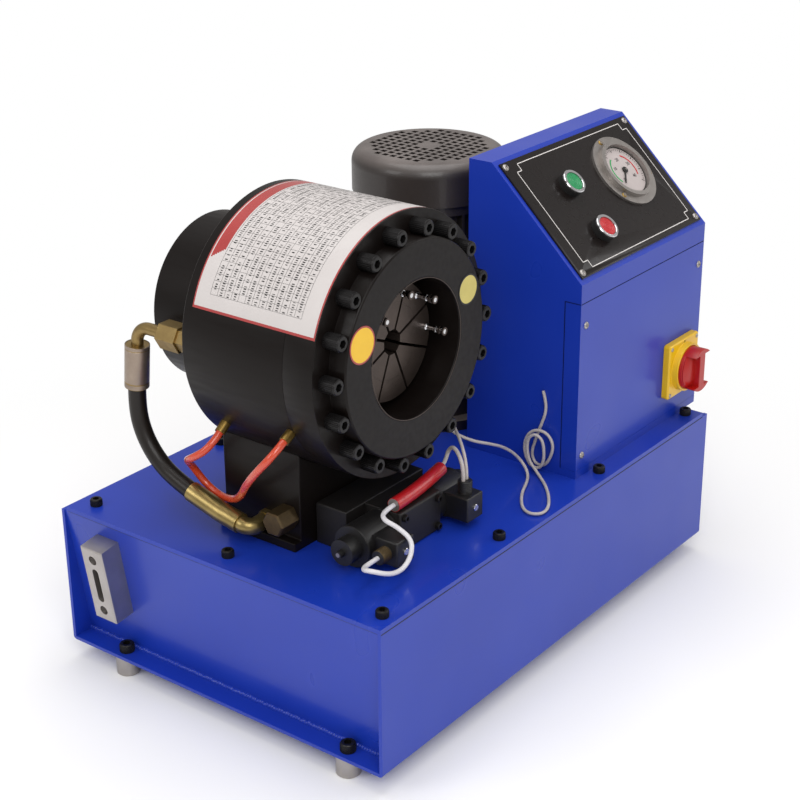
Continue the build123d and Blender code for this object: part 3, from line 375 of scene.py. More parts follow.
class CrimperStage(PropertyGroup):
    """Floor, lamps and background."""

    floor_colour: colour("Floor", "#f4f4f4", "Colour of the floor round the machine")
    light_level: FloatProperty(
        name="Light", description="Factor on every lamp's power", default=1.0, min=0.0
    )
    sky_level: FloatProperty(
        name="Sky", description="Strength of the even light from all round", default=0.55, min=0.0
    )


# ------------------------------------------------------------------ finishes
class CRIMPER_OT_finishes(Operator):
    """Makes the materials and gives the CAD nodes theirs"""

    bl_idname = "crimper.finishes"
    bl_label = "Finishes"

    def execute(self, context):
        paint = context.scene.crimper_colours
        # Grain is drawn no finer than 0.6 mm, since less wouldn't show at this distance.

        # Stoved gloss enamel on sheet steel: deep cobalt, with slow waves where the sheet isn't flat.
        finishes["cobalt_enamel"] = finish(
            "cobalt_gloss_enamel", paint.enamel, paint.enamel_deep, 0.31, coat=0.12, patch=140, grain=55.0,
            relief=0.012, spread=0.04, shine=0.36, detail=0.0,
        )
        # Gloss enamel over turned steel: near black, warm, with turning marks under it.
        finishes["black_enamel"] = finish(
            "black_gloss_enamel", "#15100e", "#0e0a09", 0.4, coat=0.04, patch=70, grain=5.0,
            relief=0.003, stretch=(1, 0.15, 1), spread=0.07, shine=0.16, detail=0.5,
        )
        # Enamel on castings: satin, with dust on its upper faces.
        finishes["cast_enamel"] = finish(
            "black_casting_enamel", "#37302d", "#292422", 0.42, coat=0.15, patch=50, grain=2.0,
            relief=0.06, dust="#8a807c",
        )
        # Blackened alloy steel: near black, with a faint oily sheen on its edges.
        finishes["screw_black"] = finish(
            "blackened_screw_steel", "#1f1d1d", "#141314", 0.36, metal=0.5, patch=8, grain=0.8,
            relief=0.01,
        )
        # Hardened die steel: dark, oily, ground on its faces.
        finishes["die_steel"] = finish(
            "oiled_die_steel", "#5a4f49", "#3c3430", 0.34, metal=0.75, patch=22, grain=0.9,
            relief=0.008, stretch=(1, 0.1, 1), spread=0.1,
        )
        # Ground tool steel: bright, streaked along the wheel's path.
        finishes["ground_steel"] = finish(
            "ground_steel", "#7d7873", "#5c5753", 0.3, metal=1.0, patch=30, grain=0.8, relief=0.006,
            stretch=(1, 0.08, 1),
        )
        # Zinc-plated steel: pale grey, softly shining and a little cloudy.
        finishes["zinc_steel"] = finish(
            "zinc_plated_steel", "#b9b4b0", "#98938f", 0.38, metal=0.9, patch=16, grain=1.0,
            relief=0.01,
        )
        # Milled aluminium bar: light grey and satin, with fine cutter lines.
        finishes["aluminium"] = finish(
            "milled_aluminium", "#bdb8b5", "#9e9996", 0.36, metal=0.9, patch=24, grain=0.7,
            relief=0.012, stretch=(1, 1, 0.1), spread=0.1,
        )
        # Phosphated cast iron: dark, dull and slightly rough.
        finishes["valve_iron"] = finish(
            "phosphated_valve_iron", "#211e1d", "#151313", 0.5, metal=0.2, patch=14, grain=0.9,
            relief=0.03,
        )
        # Moulded nylon: black, with a dull and finely grained skin.
        finishes["black_nylon"] = finish(
            "moulded_black_nylon", "#1a1919", "#121112", 0.45, patch=20, grain=0.6, relief=0.02,
        )
        # Enamelled flat sheet for screen printing: brown-black, even, of low gloss.
        finishes["panel_enamel"] = finish(
            "screened_panel_enamel", "#1a1413", "#130f0e", 0.3, coat=0.1, patch=90, grain=5.0,
            relief=0.002, spread=0.04, shine=0.22, detail=0.0,
        )
        # Chrome plate on turned parts: cool and nearly a mirror.
        finishes["chrome"] = finish(
            "chrome_plate", "#dcdcde", "#c9c9cc", 0.12, metal=1.0, patch=20, grain=1.0, relief=0.002,
            spread=0.04,
        )
        # Moulded acrylic: strong green, wet gloss, with a finely ribbed skin.
        finishes["green_cap"] = finish(
            "moulded_green_acrylic", paint.close_cap, paint.close_cap_deep, 0.3, coat=0.4, patch=6, grain=1.2,
            relief=0.08,
        )
        # The same acrylic in red.
        finishes["red_cap"] = finish(
            "moulded_red_acrylic", paint.open_cap, paint.open_cap_deep, 0.3, coat=0.4, patch=6, grain=1.2,
            relief=0.08,
        )
        # Moulded ABS: even warm yellow of half gloss.
        finishes["yellow_abs"] = finish(
            "moulded_yellow_abs", paint.switch, paint.switch_deep, 0.33, coat=0.2, patch=30, grain=0.8,
            relief=0.015,
        )
        # Moulded ABS: deep signal red of half gloss.
        finishes["red_abs"] = finish(
            "moulded_red_abs", paint.knob, paint.knob_deep, 0.36, coat=0.1, patch=30, grain=0.8, relief=0.015,
        )
        # Spun stainless steel: grey, with a soft satin light.
        finishes["gauge_steel"] = finish(
            "spun_stainless_steel", "#a9a4a0", "#8f8a86", 0.38, metal=0.9, patch=12, grain=0.6,
            relief=0.006,
        )
        # Enamelled dial plate: pale warm grey, without shine.
        finishes["dial_enamel"] = finish(
            "pale_dial_enamel", "#bdb3b1", "#aba2a0", 0.5, patch=30, grain=1.0, relief=0.003,
        )
        # Painted pointer: plain black, slightly satin.
        finishes["needle_paint"] = finish(
            "black_needle_paint", "#171717", "#101010", 0.4, patch=10, grain=1.0, relief=0.003,
        )
        # Smooth rubber hose cover: warm black, waxy more than glossy.
        finishes["hose_rubber"] = finish(
            "smooth_hose_rubber", "#1d1713", "#14100d", 0.42, coat=0.08, shine=0.3, patch=26, grain=0.9,
            relief=0.03,
        )
        # Yellow chromate on steel fittings: dull gold that browns in patches.
        finishes["yellow_zinc"] = finish(
            "yellow_chromated_zinc", "#a68f5c", "#7c6643", 0.36, metal=0.9, patch=9, grain=0.9,
            relief=0.012,
        )
        # Fresh chromate on bent steel tube: brighter gold with long soft highlights.
        finishes["gold_zinc"] = finish(
            "bright_chromated_zinc", "#b59f68", "#6f6038", 0.34, metal=0.9, patch=16, grain=1.4,
            relief=0.006,
        )
        # Crimped zinc-plated ferrule: warm grey, scuffed and a little pitted.
        finishes["ferrule_zinc"] = finish(
            "dull_zinc_ferrule", "#a8998a", "#8c7d71", 0.4, metal=0.85, patch=10, grain=0.9,
            relief=0.02,
        )
        # Machined brass: yellow and bright, with fine tool marks.
        finishes["brass"] = finish(
            "machined_brass", "#b08f4c", "#80693a", 0.33, metal=0.95, patch=7, grain=0.7, relief=0.01,
        )
        # Extruded polyurethane: orange-red, glossy, slightly uneven.
        finishes["orange_tube"] = finish(
            "orange_polyurethane_tube", "#cf4a2b", "#b93a20", 0.25, coat=0.4, patch=18, grain=2.0,
            relief=0.006,
        )
        # PVC cable sheath: white and satin.
        finishes["white_pvc"] = finish(
            "white_pvc_sheath", "#dfdde0", "#cbc8cd", 0.42, patch=12, grain=0.9, relief=0.012,
        )
        # Aged PVC sheath: greyed white, dull, with a little grime.
        finishes["grey_pvc"] = finish(
            "aged_pvc_sheath", "#c2bcbb", "#a09893", 0.45, patch=9, grain=0.9, relief=0.015,
        )
        # Varnished woven sleeve: dark red, its weave showing under the gloss.
        finishes["red_sleeve"] = finish(
            "varnished_red_sleeve", "#c0141a", "#98101a", 0.38, coat=0.3, patch=7, grain=1.4,
            relief=0.18,
        )
        # Moulded gasket rubber: black and matt. It also paints the shade in the gap under the tank's lid.
        finishes["dark_rubber_and_shade"] = finish(
            "gasket_rubber_and_shade", "#161616", "#0e0e0e", 0.6, patch=10, grain=0.7, relief=0.02,
        )
        # Screened ink: white and flat, slightly uneven.
        finishes["white_ink"] = finish(
            "screened_white_ink", "#e2dedb", "#d2cdca", 0.5, patch=10, grain=1.0, relief=0.002,
        )
        # Printed ink: black and flat. It also paints the bezel's shadow as a ring at the dial's rim.
        finishes["black_ink_and_shade"] = finish(
            "black_ink_and_shade", "#1a1a1a", "#121212", 0.5, patch=10, grain=1.0, relief=0.002,
        )
        # Printed ink: green and flat.
        finishes["green_ink"] = finish(
            "green_ink", "#2f9a55", "#278a4b", 0.5, patch=10, grain=1.0, relief=0.002,
        )
        # Printed ink: red and flat.
        finishes["red_ink"] = finish(
            "red_ink", "#c0262a", "#ad1e22", 0.5, patch=10, grain=1.0, relief=0.002,
        )
        # Vinyl film: clean warm yellow with a smooth gloss.
        finishes["yellow_vinyl"] = finish(
            "yellow_vinyl", "#f0c21c", "#e4b412", 0.35, coat=0.2, patch=12, grain=1.5, relief=0.01,
        )
        # Vinyl faded by light: pale and slightly green.
        finishes["pale_yellow_vinyl"] = finish(
            "faded_yellow_vinyl", "#cfc068", "#bcae5a", 0.4, coat=0.2, patch=12, grain=1.5, relief=0.01,
        )
        # Hydraulic oil behind a sight glass: brown-black and glassy.
        finishes["sight_oil"] = finish(
            "oil_behind_sight_glass", "#3a3325", "#221d16", 0.08, coat=0.6, patch=20, grain=5.0, relief=0.0,
        )
        # Painted shade for the gap between two enamelled sheets: dark blue, as if unlit.
        finishes["seam_shadow"] = finish(
            "painted_shade_in_a_seam", "#0d184c", "#0a123a", 0.7, patch=20, grain=2.0, relief=0.002, shine=0.1,
        )
        # Brass dulled by oil: brown, with few bright edges.
        finishes["gland_brass"] = finish(
            "tarnished_gland_brass", "#5e4d31", "#3b3020", 0.42, metal=0.7, patch=6, grain=0.7, relief=0.01,
        )
        # Printed paper under laminate: off-white with a soft film gloss.
        finishes["label_paper"] = finish(
            "laminated_white_paper", "#c9c4c2", "#bcb6b4", 0.42, coat=0.1, patch=40, grain=3.0, relief=0.01,
        )
        # Print on that sheet: a dull red under the same film.
        finishes["label_red"] = finish(
            "printed_dull_red", "#a83a38", "#96302f", 0.36, coat=0.3, patch=30, grain=2.0, relief=0.004,
        )
        wear("tank tank_lid cabinet door", "cobalt_enamel")
        wear("barrel front_cover neck pedestal", "black_enamel")
        wear("motor_frame fan_cover terminal_box", "cast_enamel")
        wear("feet", "zinc_steel")
        wear("flange_bolts foot_bolts lid_screws", "screw_black")
        wear(" ".join(f"die_base_{i} die_jaw_{i}" for i in range(1, 9)), "die_steel")
        wear("ring_piston", "ground_steel")
        wear("sight_gauge", "aluminium")
        wear("valve_block valve_body", "valve_iron")
        wear("solenoid_left solenoid_right connector_left connector_right", "black_nylon")
        wear("control_panel", "panel_enamel")
        wear("close_bezel open_bezel", "black_nylon")
        wear("cabinet_screws", "chrome")
        wear("close_button", "green_cap")
        wear("open_button", "red_cap")
        wear("switch_plate", "yellow_abs")
        wear("switch_knob", "red_abs")
        wear("pressure_gauge", "gauge_steel")
        wear("gauge_needle", "needle_paint")
        wear("motor_fan", "black_nylon")
        wear("hose", "hose_rubber")
        wear("hose_elbow", "yellow_zinc")
        wear("hose_tail", "gold_zinc")
        wear("drain_fittings", "brass")
        wear("port_plug", "gland_brass")
        wear("drain_tube", "orange_tube")
        wear("solenoid_cable", "white_pvc")
        wear("loose_cable", "grey_pvc")
        wear("cable_sleeve", "red_sleeve")
        return {"FINISHED"}


# ------------------------------------------------------------------ screws
def shifted(tree, shape, way):
    """A shape moved by a vector inside a tree."""
    return node(tree, "GeometryNodeTransform", {"Geometry": shape.outputs[0], "Translation": way})


def stood(tree, given, shape):
    """Copies of a shape on the source's points, each turned to the way out at its point."""
    way = node(tree, "GeometryNodeInputNamedAttribute", {"Name": "way"}, data_type="FLOAT_VECTOR")
    turn = node(tree, "FunctionNodeAlignRotationToVector", {"Vector": way.outputs[0]}, axis="Z")
    placed = node(tree, "GeometryNodeInstanceOnPoints", {
        "Points": given.outputs[0], "Instance": shape.outputs[0], "Rotation": turn.outputs[0],
    })
    return placed.outputs[0]


def socket_screw_tree():
    """Socket-head screws on points: a chamfered head with a hexagon key and a knurled side."""
    tree, given, result = new_tree("socket_screws", [
        ("Head radius", "NodeSocketFloat", 0.008), ("Head height", "NodeSocketFloat", 0.01),
        ("Key radius", "NodeSocketFloat", 0.0046), ("Knurls", "NodeSocketInt", 28),
        ("Material", "NodeSocketMaterial", None),
    ])
    radius, height = given.outputs["Head radius"], given.outputs["Head height"]
    edge = maths(tree, "MULTIPLY", radius, 0.12)
    straight = maths(tree, "SUBTRACT", height, edge)
    half = maths(tree, "MULTIPLY", straight, 0.5)
    low = node(tree, "ShaderNodeCombineXYZ", {"Z": half})
    side = node(tree, "GeometryNodeMeshCylinder", {"Vertices": 36, "Radius": radius, "Depth": straight})
    side = shifted(tree, side, low.outputs[0])
    inner = maths(tree, "SUBTRACT", radius, edge)
    rim = node(tree, "GeometryNodeMeshCone", {
        "Vertices": 36, "Radius Top": inner, "Radius Bottom": radius, "Depth": edge,
    })
    high = node(tree, "ShaderNodeCombineXYZ", {"Z": straight})
    rim = shifted(tree, rim, high.outputs[0])
    key = node(tree, "GeometryNodeMeshCylinder", {
        "Vertices": 6, "Radius": given.outputs["Key radius"], "Depth": height,
    })
    top = node(tree, "ShaderNodeCombineXYZ", {"Z": maths(tree, "MULTIPLY", height, 1.02)})
    key = shifted(tree, key, top.outputs[0])
    whole = node(tree, "GeometryNodeMeshBoolean", {}, operation="UNION")
    tree.links.new(side.outputs[0], whole.inputs["Mesh 2"])
    tree.links.new(rim.outputs[0], whole.inputs["Mesh 2"])
    cut = node(tree, "GeometryNodeMeshBoolean", {"Mesh 1": whole.outputs[0]}, operation="DIFFERENCE")
    tree.links.new(key.outputs[0], cut.inputs["Mesh 2"])
    circle = node(tree, "GeometryNodeMeshCircle", {"Vertices": given.outputs["Knurls"], "Radius": radius})
    ridge_size = node(tree, "ShaderNodeCombineXYZ", {
        "X": maths(tree, "MULTIPLY", radius, 0.09), "Y": maths(tree, "MULTIPLY", radius, 0.09),
        "Z": maths(tree, "MULTIPLY", straight, 0.86),
    })
    ridge = node(tree, "GeometryNodeMeshCube", {"Size": ridge_size.outputs[0]})
    ridges = node(tree, "GeometryNodeInstanceOnPoints", {
        "Points": circle.outputs[0], "Instance": ridge.outputs[0], "Rotation": (0, 0, 0.785),
    })
    ridges = shifted(tree, ridges, low.outputs[0])
    head = node(tree, "GeometryNodeJoinGeometry")
    tree.links.new(cut.outputs[0], head.inputs[0])
    tree.links.new(ridges.outputs[0], head.inputs[0])
    return close_tree(tree, given, result, stood(tree, given, head))


def pan_screw_tree():
    """Domed screws with a cross recess on points."""
    tree, given, result = new_tree("pan_screws", [
        ("Head radius", "NodeSocketFloat", 0.005), ("Rise", "NodeSocketFloat", 0.003),
        ("Material", "NodeSocketMaterial", None),
    ])
    radius = given.outputs["Head radius"]
    ball = node(tree, "GeometryNodeMeshUVSphere", {"Segments": 28, "Rings": 14, "Radius": 1.0})
    size = node(tree, "ShaderNodeCombineXYZ", {"X": radius, "Y": radius, "Z": given.outputs["Rise"]})
    dome = node(tree, "GeometryNodeTransform", {"Geometry": ball.outputs[0], "Scale": size.outputs[0]})
    cut = node(tree, "GeometryNodeMeshBoolean", {"Mesh 1": dome.outputs[0]}, operation="DIFFERENCE")
    for turn in (0, math.pi / 2):
        # A blade of 5.8 by 1.1 mm whose lower edge stays 1.4 mm over the seat cuts the recess.
        blade = node(tree, "GeometryNodeMeshCube", {"Size": (5.8 * MM, 1.1 * MM, 4 * MM)})
        blade = node(tree, "GeometryNodeTransform", {
            "Geometry": blade.outputs[0], "Translation": (0, 0, 3.4 * MM), "Rotation": (0, 0, turn),
        })
        tree.links.new(blade.outputs[0], cut.inputs["Mesh 2"])
    smooth = node(tree, "GeometryNodeSetShadeSmooth", {"Geometry": cut.outputs[0]})
    return close_tree(tree, given, result, stood(tree, given, smooth))


class CRIMPER_OT_screws(Operator):
    """Socket screws of the flange, lid and feet, and the cabinet's pan heads"""

    bl_idname = "crimper.screws"
    bl_label = "Screws"

    def execute(self, context):
        sizes = context.scene.crimper_screws
        tree = socket_screw_tree()

        def socket_screws(name, places, radius, height, key, node_name):
            """Socket screws in place of a CAD node's; radius in metres, height and key in mm."""
            made = grow(
                name, points_mesh(name + "_points", places), tree,
                {"Head radius": radius, "Head height": height * MM, "Key radius": key * MM,
                 "Knurls": sizes.knurls},
                "screw_black", "machine",
            )
            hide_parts(node_name)

        circle, count, seat = 121.5, 18, COVER_FRONT + 20.0
        flange = []
        for i in range(count):
            a = 2 * math.pi * i / count
            flange.append(((HEAD_X + circle * math.cos(a), seat, AXIS_Z + circle * math.sin(a)), FRONT))
        socket_screws("flange_screws", flange, sizes.flange_head, 19.0, 4.6, "flange_bolts")

        low, high = (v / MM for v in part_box("tank_lid"))
        inset_left, inset_right = 22.0, 16.0
        pitch = (high.x - low.x - inset_left - inset_right) / 3
        columns = [low.x + inset_left + i * pitch for i in range(4)]
        front_row, middle_row, back_row = (low.y + inset for inset in (15.0, 215.0, 408.0))
        lid = [((x, front_row, DECK), UP) for x in columns]
        lid += [((x, back_row, DECK), UP) for x in columns]
        lid += [((x, middle_row, DECK), UP) for x in (columns[0], columns[-1])]
        socket_screws("lid_cap_screws", lid, sizes.lid_head, 8.0, 3.7, "lid_screws")

        head_radius, head_height = 8.0, 10.0
        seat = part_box("foot_bolts")[1].z / MM - head_height
        foot_columns, foot_rows = (-307, 307), (-166, 148)
        feet = [((x, y, seat), UP) for x in foot_columns for y in foot_rows]
        socket_screws("foot_cap_screws", feet, head_radius * MM, head_height, 4.6, "foot_bolts")

        door_inset, panel_inset, door_rows = 11.0, 12.0, (216.0, 370.0)
        door_columns = (CAB_LEFT + door_inset, CAB_RIGHT - door_inset)
        pans = [((x, CAB_FRONT, z), FRONT) for x in door_columns for z in door_rows]
        for along in (panel_inset, CAB_RIGHT - CAB_LEFT - panel_inset):
            for up in (panel_inset, SLOPE_LENGTH - panel_inset):
                pans.append((on_slope(along, up).translation / MM, SLOPE_OUT))
        heads = grow(
            "cabinet_pan_screws", points_mesh("pan_points", pans), pan_screw_tree(),
            {"Head radius": 4.2 * MM, "Rise": 2.5 * MM}, "zinc_steel", "machine",
        )
        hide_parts("cabinet_screws")
        return {"FINISHED"}


# ------------------------------------------------------------------ edges, boxes, turned and flexible pieces
def soften(names, width, segments=2, angle=32):
    """Rounds the sharp edges of CAD nodes with live modifiers, for the light they catch."""
    for name in names.split():
        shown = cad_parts[name]
        weld = shown.modifiers.new("weld", "WELD")
        weld.merge_threshold = 1e-6
        flat = shown.modifiers.new("flat", "DECIMATE")
        flat.decimate_type = "DISSOLVE"
        flat.angle_limit = math.radians(0.5)
        bevel = shown.modifiers.new("edge", "BEVEL")
        bevel.width = width * MM
        bevel.segments = segments
        bevel.limit_method = "ANGLE"
        bevel.angle_limit = math.radians(angle)


def block(bm, low, high):
    """Adds a box to a bmesh, from corner to corner in millimetres."""
    made = bmesh.ops.create_cube(bm, size=1.0)["verts"]
    size = [(b - a) * MM for a, b in zip(low, high)]
    middle = [(a + b) / 2 * MM for a, b in zip(low, high)]
    for v in made:
        v.co = Vector([v.co[i] * size[i] + middle[i] for i in range(3)])


def blocks(name, boxes, material, body, place=None):
    """One piece of several boxes."""
    bm = bmesh.new()
    for low, high in boxes:
        block(bm, low, high)
    bmesh.ops.recalc_face_normals(bm, faces=bm.faces)
    return piece(name, kept(bm, name, place), material, body)


def spun(name, profile, place, material, body, steps=64, smooth=True):
    """One turned piece, shaded smooth with its corners kept sharp."""
    mesh = mesh_of(turned(profile, steps), name, place)
    made = piece(name, mesh, material, body, smooth)
    if smooth:
        mesh.set_sharp_from_angle(angle=math.radians(30))
    return made


def curve_length(curve):
    """The length of a curve's own line."""
    depth, curve.bevel_depth = curve.bevel_depth, 0.0
    maker = linked("measure", curve)
    graph = bpy.context.evaluated_depsgraph_get()
    line = bpy.data.meshes.new_from_object(maker.evaluated_get(graph))
    total = sum(
        (line.vertices[e.vertices[0]].co - line.vertices[e.vertices[1]].co).length for e in line.edges
    )
    bpy.data.objects.remove(maker)
    bpy.data.meshes.remove(line)
    curve.bevel_depth = depth
    return total


def flex(name, route, radius, material, slot, *nodes):
    """A round flexible piece along a route in millimetres. Returns it with its length."""
    curve = bpy.data.curves.new(name, "CURVE")
    curve.dimensions = "3D"
    spline = curve.splines.new("NURBS")
    spline.points.add(len(route) - 1)
    for point, spot in zip(spline.points, route):
        point.co = (*[c * MM for c in spot], 1.0)
    spline.order_u = 3
    spline.use_endpoint_u = True
    curve.resolution_u = 10
    curve.bevel_resolution = 6
    curve.use_fill_caps = True
    curve.bevel_depth = radius * MM
    curve.materials.append(finishes[material])
    length = curve_length(curve)
    made = linked(name, curve)
    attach(made, "machine")
    if nodes:
        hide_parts(*nodes)
    return made, length


# ------------------------------------------------------------------ tank
def weld_tree():
    """A bead of overlapping ripples along a straight seam."""
    tree, given, result = new_tree("weld_bead", [
        ("Count", "NodeSocketInt", 120), ("Start", "NodeSocketVector", None),
        ("End", "NodeSocketVector", None), ("Width", "NodeSocketFloat", 0.003),
        ("Material", "NodeSocketMaterial", None),
    ])
    line = node(tree, "GeometryNodeMeshLine", {
        "Count": given.outputs["Count"], "Start Location": given.outputs["Start"],
        "Offset": given.outputs["End"],
    }, mode="END_POINTS")
    ball = node(tree, "GeometryNodeMeshUVSphere", {
        "Segments": 12, "Rings": 8, "Radius": given.outputs["Width"],
    })
    size = node(
        tree, "FunctionNodeRandomValue",
        {"Min": (0.85, 0.7, 0.8), "Max": (1.1, 1.0, 1.15), "Seed": 4}, data_type="FLOAT_VECTOR",
    )
    beads = node(tree, "GeometryNodeInstanceOnPoints", {
        "Points": line.outputs[0], "Instance": ball.outputs[0], "Scale": size.outputs[0],
    })
    return close_tree(tree, given, result, beads.outputs[0])


class CRIMPER_OT_tank(Operator):
    """The tank's painted shade line under the lid, weld beads, and the sight gauge's glass and screws"""

    bl_idname = "crimper.tank"
    bl_label = "Tank"

    def execute(self, context):
        low, high = (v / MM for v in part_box("tank"))
        soften("tank_lid", 1.6, 3)
        soften("tank", 1.0)
        # Painted shade: a dark line under the lid, in front and on the left, stands for the shadow in the gap
        # over the tank.
        proud, low_edge, high_edge = 0.25, high.z - 1.0, high.z - 0.1
        blocks("lid_gap_shade", [
            ((low.x + 1, low.y - proud, low_edge), (high.x - 12, low.y + 2, high_edge)),
            ((low.x + 1 - proud, low.y, low_edge), (low.x + 3, high.y - 10, high_edge)),
        ], "dark_rubber_and_shade", "machine")
        seam_x, seam_z, seam_inset = 295.5, 26.6, 4.0
        tree = weld_tree()
        for name, side in (("left_weld", -1), ("right_weld", 1)):
            grow(name, one_point(name), tree, {
                "Count": 130, "Width": 3.3 * MM,
                "Start": (side * seam_x * MM, (low.y + seam_inset) * MM, seam_z * MM),
                "End": (side * seam_x * MM, (high.y - seam_inset) * MM, seam_z * MM),
            }, "cobalt_enamel", "machine", smooth=True)
        # The gauge lies on the raked end panel: its window is a slot with round ends, sunk 9 mm.
        out = Vector((-0.9888, 0, -0.1493))
        window, sunk = Vector((-331.3, 154.0, 118.95)), 9.0
        half_slot, end_radius, end_steps = 17.0, 4.3, 24
        glass = []
        for up, first in ((-half_slot, math.pi), (half_slot, 0.0)):
            for i in range(end_steps + 1):
                a = math.pi * i / end_steps + first
                glass.append((end_radius * math.cos(a), up + end_radius * math.sin(a)))
        bm = bmesh.new()
        bm.faces.new([bm.verts.new((x * MM, y * MM, 0)) for x, y in glass])
        place = facing(window - out * sunk, out, (0, 1, 0))
        piece("sight_glass", mesh_of(bm, "sight_glass", place), "sight_oil", "machine")
        profile = [
            (0, -7.6), (1.6, -7.6), (1.6, -5.4), (4.4, -5.4), (4.7, -5.0), (4.7, -4.2), (4.2, -3.7),
            (2.4, -3.7), (2.2, -6.0), (0, -6.0),
        ]
        for name, spot in (
            ("sight_screw_low", (-326.35, 154, 86.3)), ("sight_screw_high", (-336.2, 154, 151.6)),
        ):
            spun(name, profile, facing(spot, out, (0, 1, 0)), "chrome", "machine", 36)
        return {"FINISHED"}


# ------------------------------------------------------------------ head
def label_tree():
    """Rows of short printed marks, wrapped round the barrel from a flat layout."""
    tree, given, result = new_tree("printed_rows", [
        ("Width", "NodeSocketFloat", 0.2), ("Depth", "NodeSocketFloat", 0.1),
        ("Columns", "NodeSocketInt", 40), ("Rows", "NodeSocketInt", 16),
        ("Radius", "NodeSocketFloat", 0.138), ("Material", "NodeSocketMaterial", None),
    ])
    layout = node(tree, "GeometryNodeMeshGrid", {
        "Size X": given.outputs["Width"], "Size Y": given.outputs["Depth"],
        "Vertices X": given.outputs["Columns"], "Vertices Y": given.outputs["Rows"],
    })
    mark = node(tree, "GeometryNodeMeshGrid", {
        "Size X": 1.3 * MM, "Size Y": 3.6 * MM, "Vertices X": 2, "Vertices Y": 2,
    })
    chosen = node(
        tree, "FunctionNodeRandomValue", {"Probability": 0.78, "Seed": 11}, data_type="BOOLEAN",
    )
    size = node(
        tree, "FunctionNodeRandomValue",
        {"Min": (0.45, 0.7, 1), "Max": (1.0, 1.0, 1), "Seed": 3}, data_type="FLOAT_VECTOR",
    )
    marks = node(tree, "GeometryNodeInstanceOnPoints", {
        "Points": layout.outputs[0], "Instance": mark.outputs[0], "Selection": chosen.outputs[3],
        "Scale": size.outputs[0],
    })
    flat = node(tree, "GeometryNodeRealizeInstances", {"Geometry": marks.outputs[0]})
    spot = node(tree, "ShaderNodeSeparateXYZ", {0: node(tree, "GeometryNodeInputPosition").outputs[0]})
    radius = given.outputs["Radius"]
    turn = maths(tree, "DIVIDE", spot.outputs["X"], radius)
    wrapped = node(tree, "ShaderNodeCombineXYZ", {
        "X": maths(tree, "MULTIPLY", maths(tree, "SINE", turn), radius), "Y": spot.outputs["Y"],
        "Z": maths(tree, "MULTIPLY", maths(tree, "COSINE", turn), radius),
    })
    bent = node(tree, "GeometryNodeSetPosition", {
        "Geometry": flat.outputs[0], "Position": wrapped.outputs[0],
    })
    return close_tree(tree, given, result, bent.outputs[0])


def wrap(name, arcs, material, rise):
    """Patches laid on the barrel, from (first angle, last angle, front y, back y) in degrees and mm."""
    bm = bmesh.new()
    for first, last, front, back in arcs:
        steps = max(2, int(abs(last - first) / 2))
        near, far = [], []
        for i in range(steps + 1):
            a = math.radians(first + (last - first) * i / steps)
            x = HEAD_X + (BARREL_RADIUS + rise) * math.cos(a)
            z = AXIS_Z + (BARREL_RADIUS + rise) * math.sin(a)
            near.append(bm.verts.new((x * MM, front * MM, z * MM)))
            far.append(bm.verts.new((x * MM, back * MM, z * MM)))
        for i in range(steps):
            face = bm.faces.new((near[i], far[i], far[i + 1], near[i + 1]))
            face.normal_update()
            mid = face.calc_center_median()
            if face.normal.dot(Vector((mid.x - HEAD_X * MM, 0, mid.z - AXIS_Z * MM))) < 0:
                face.normal_flip()
    return piece(name, kept(bm, name), material, "machine", True)


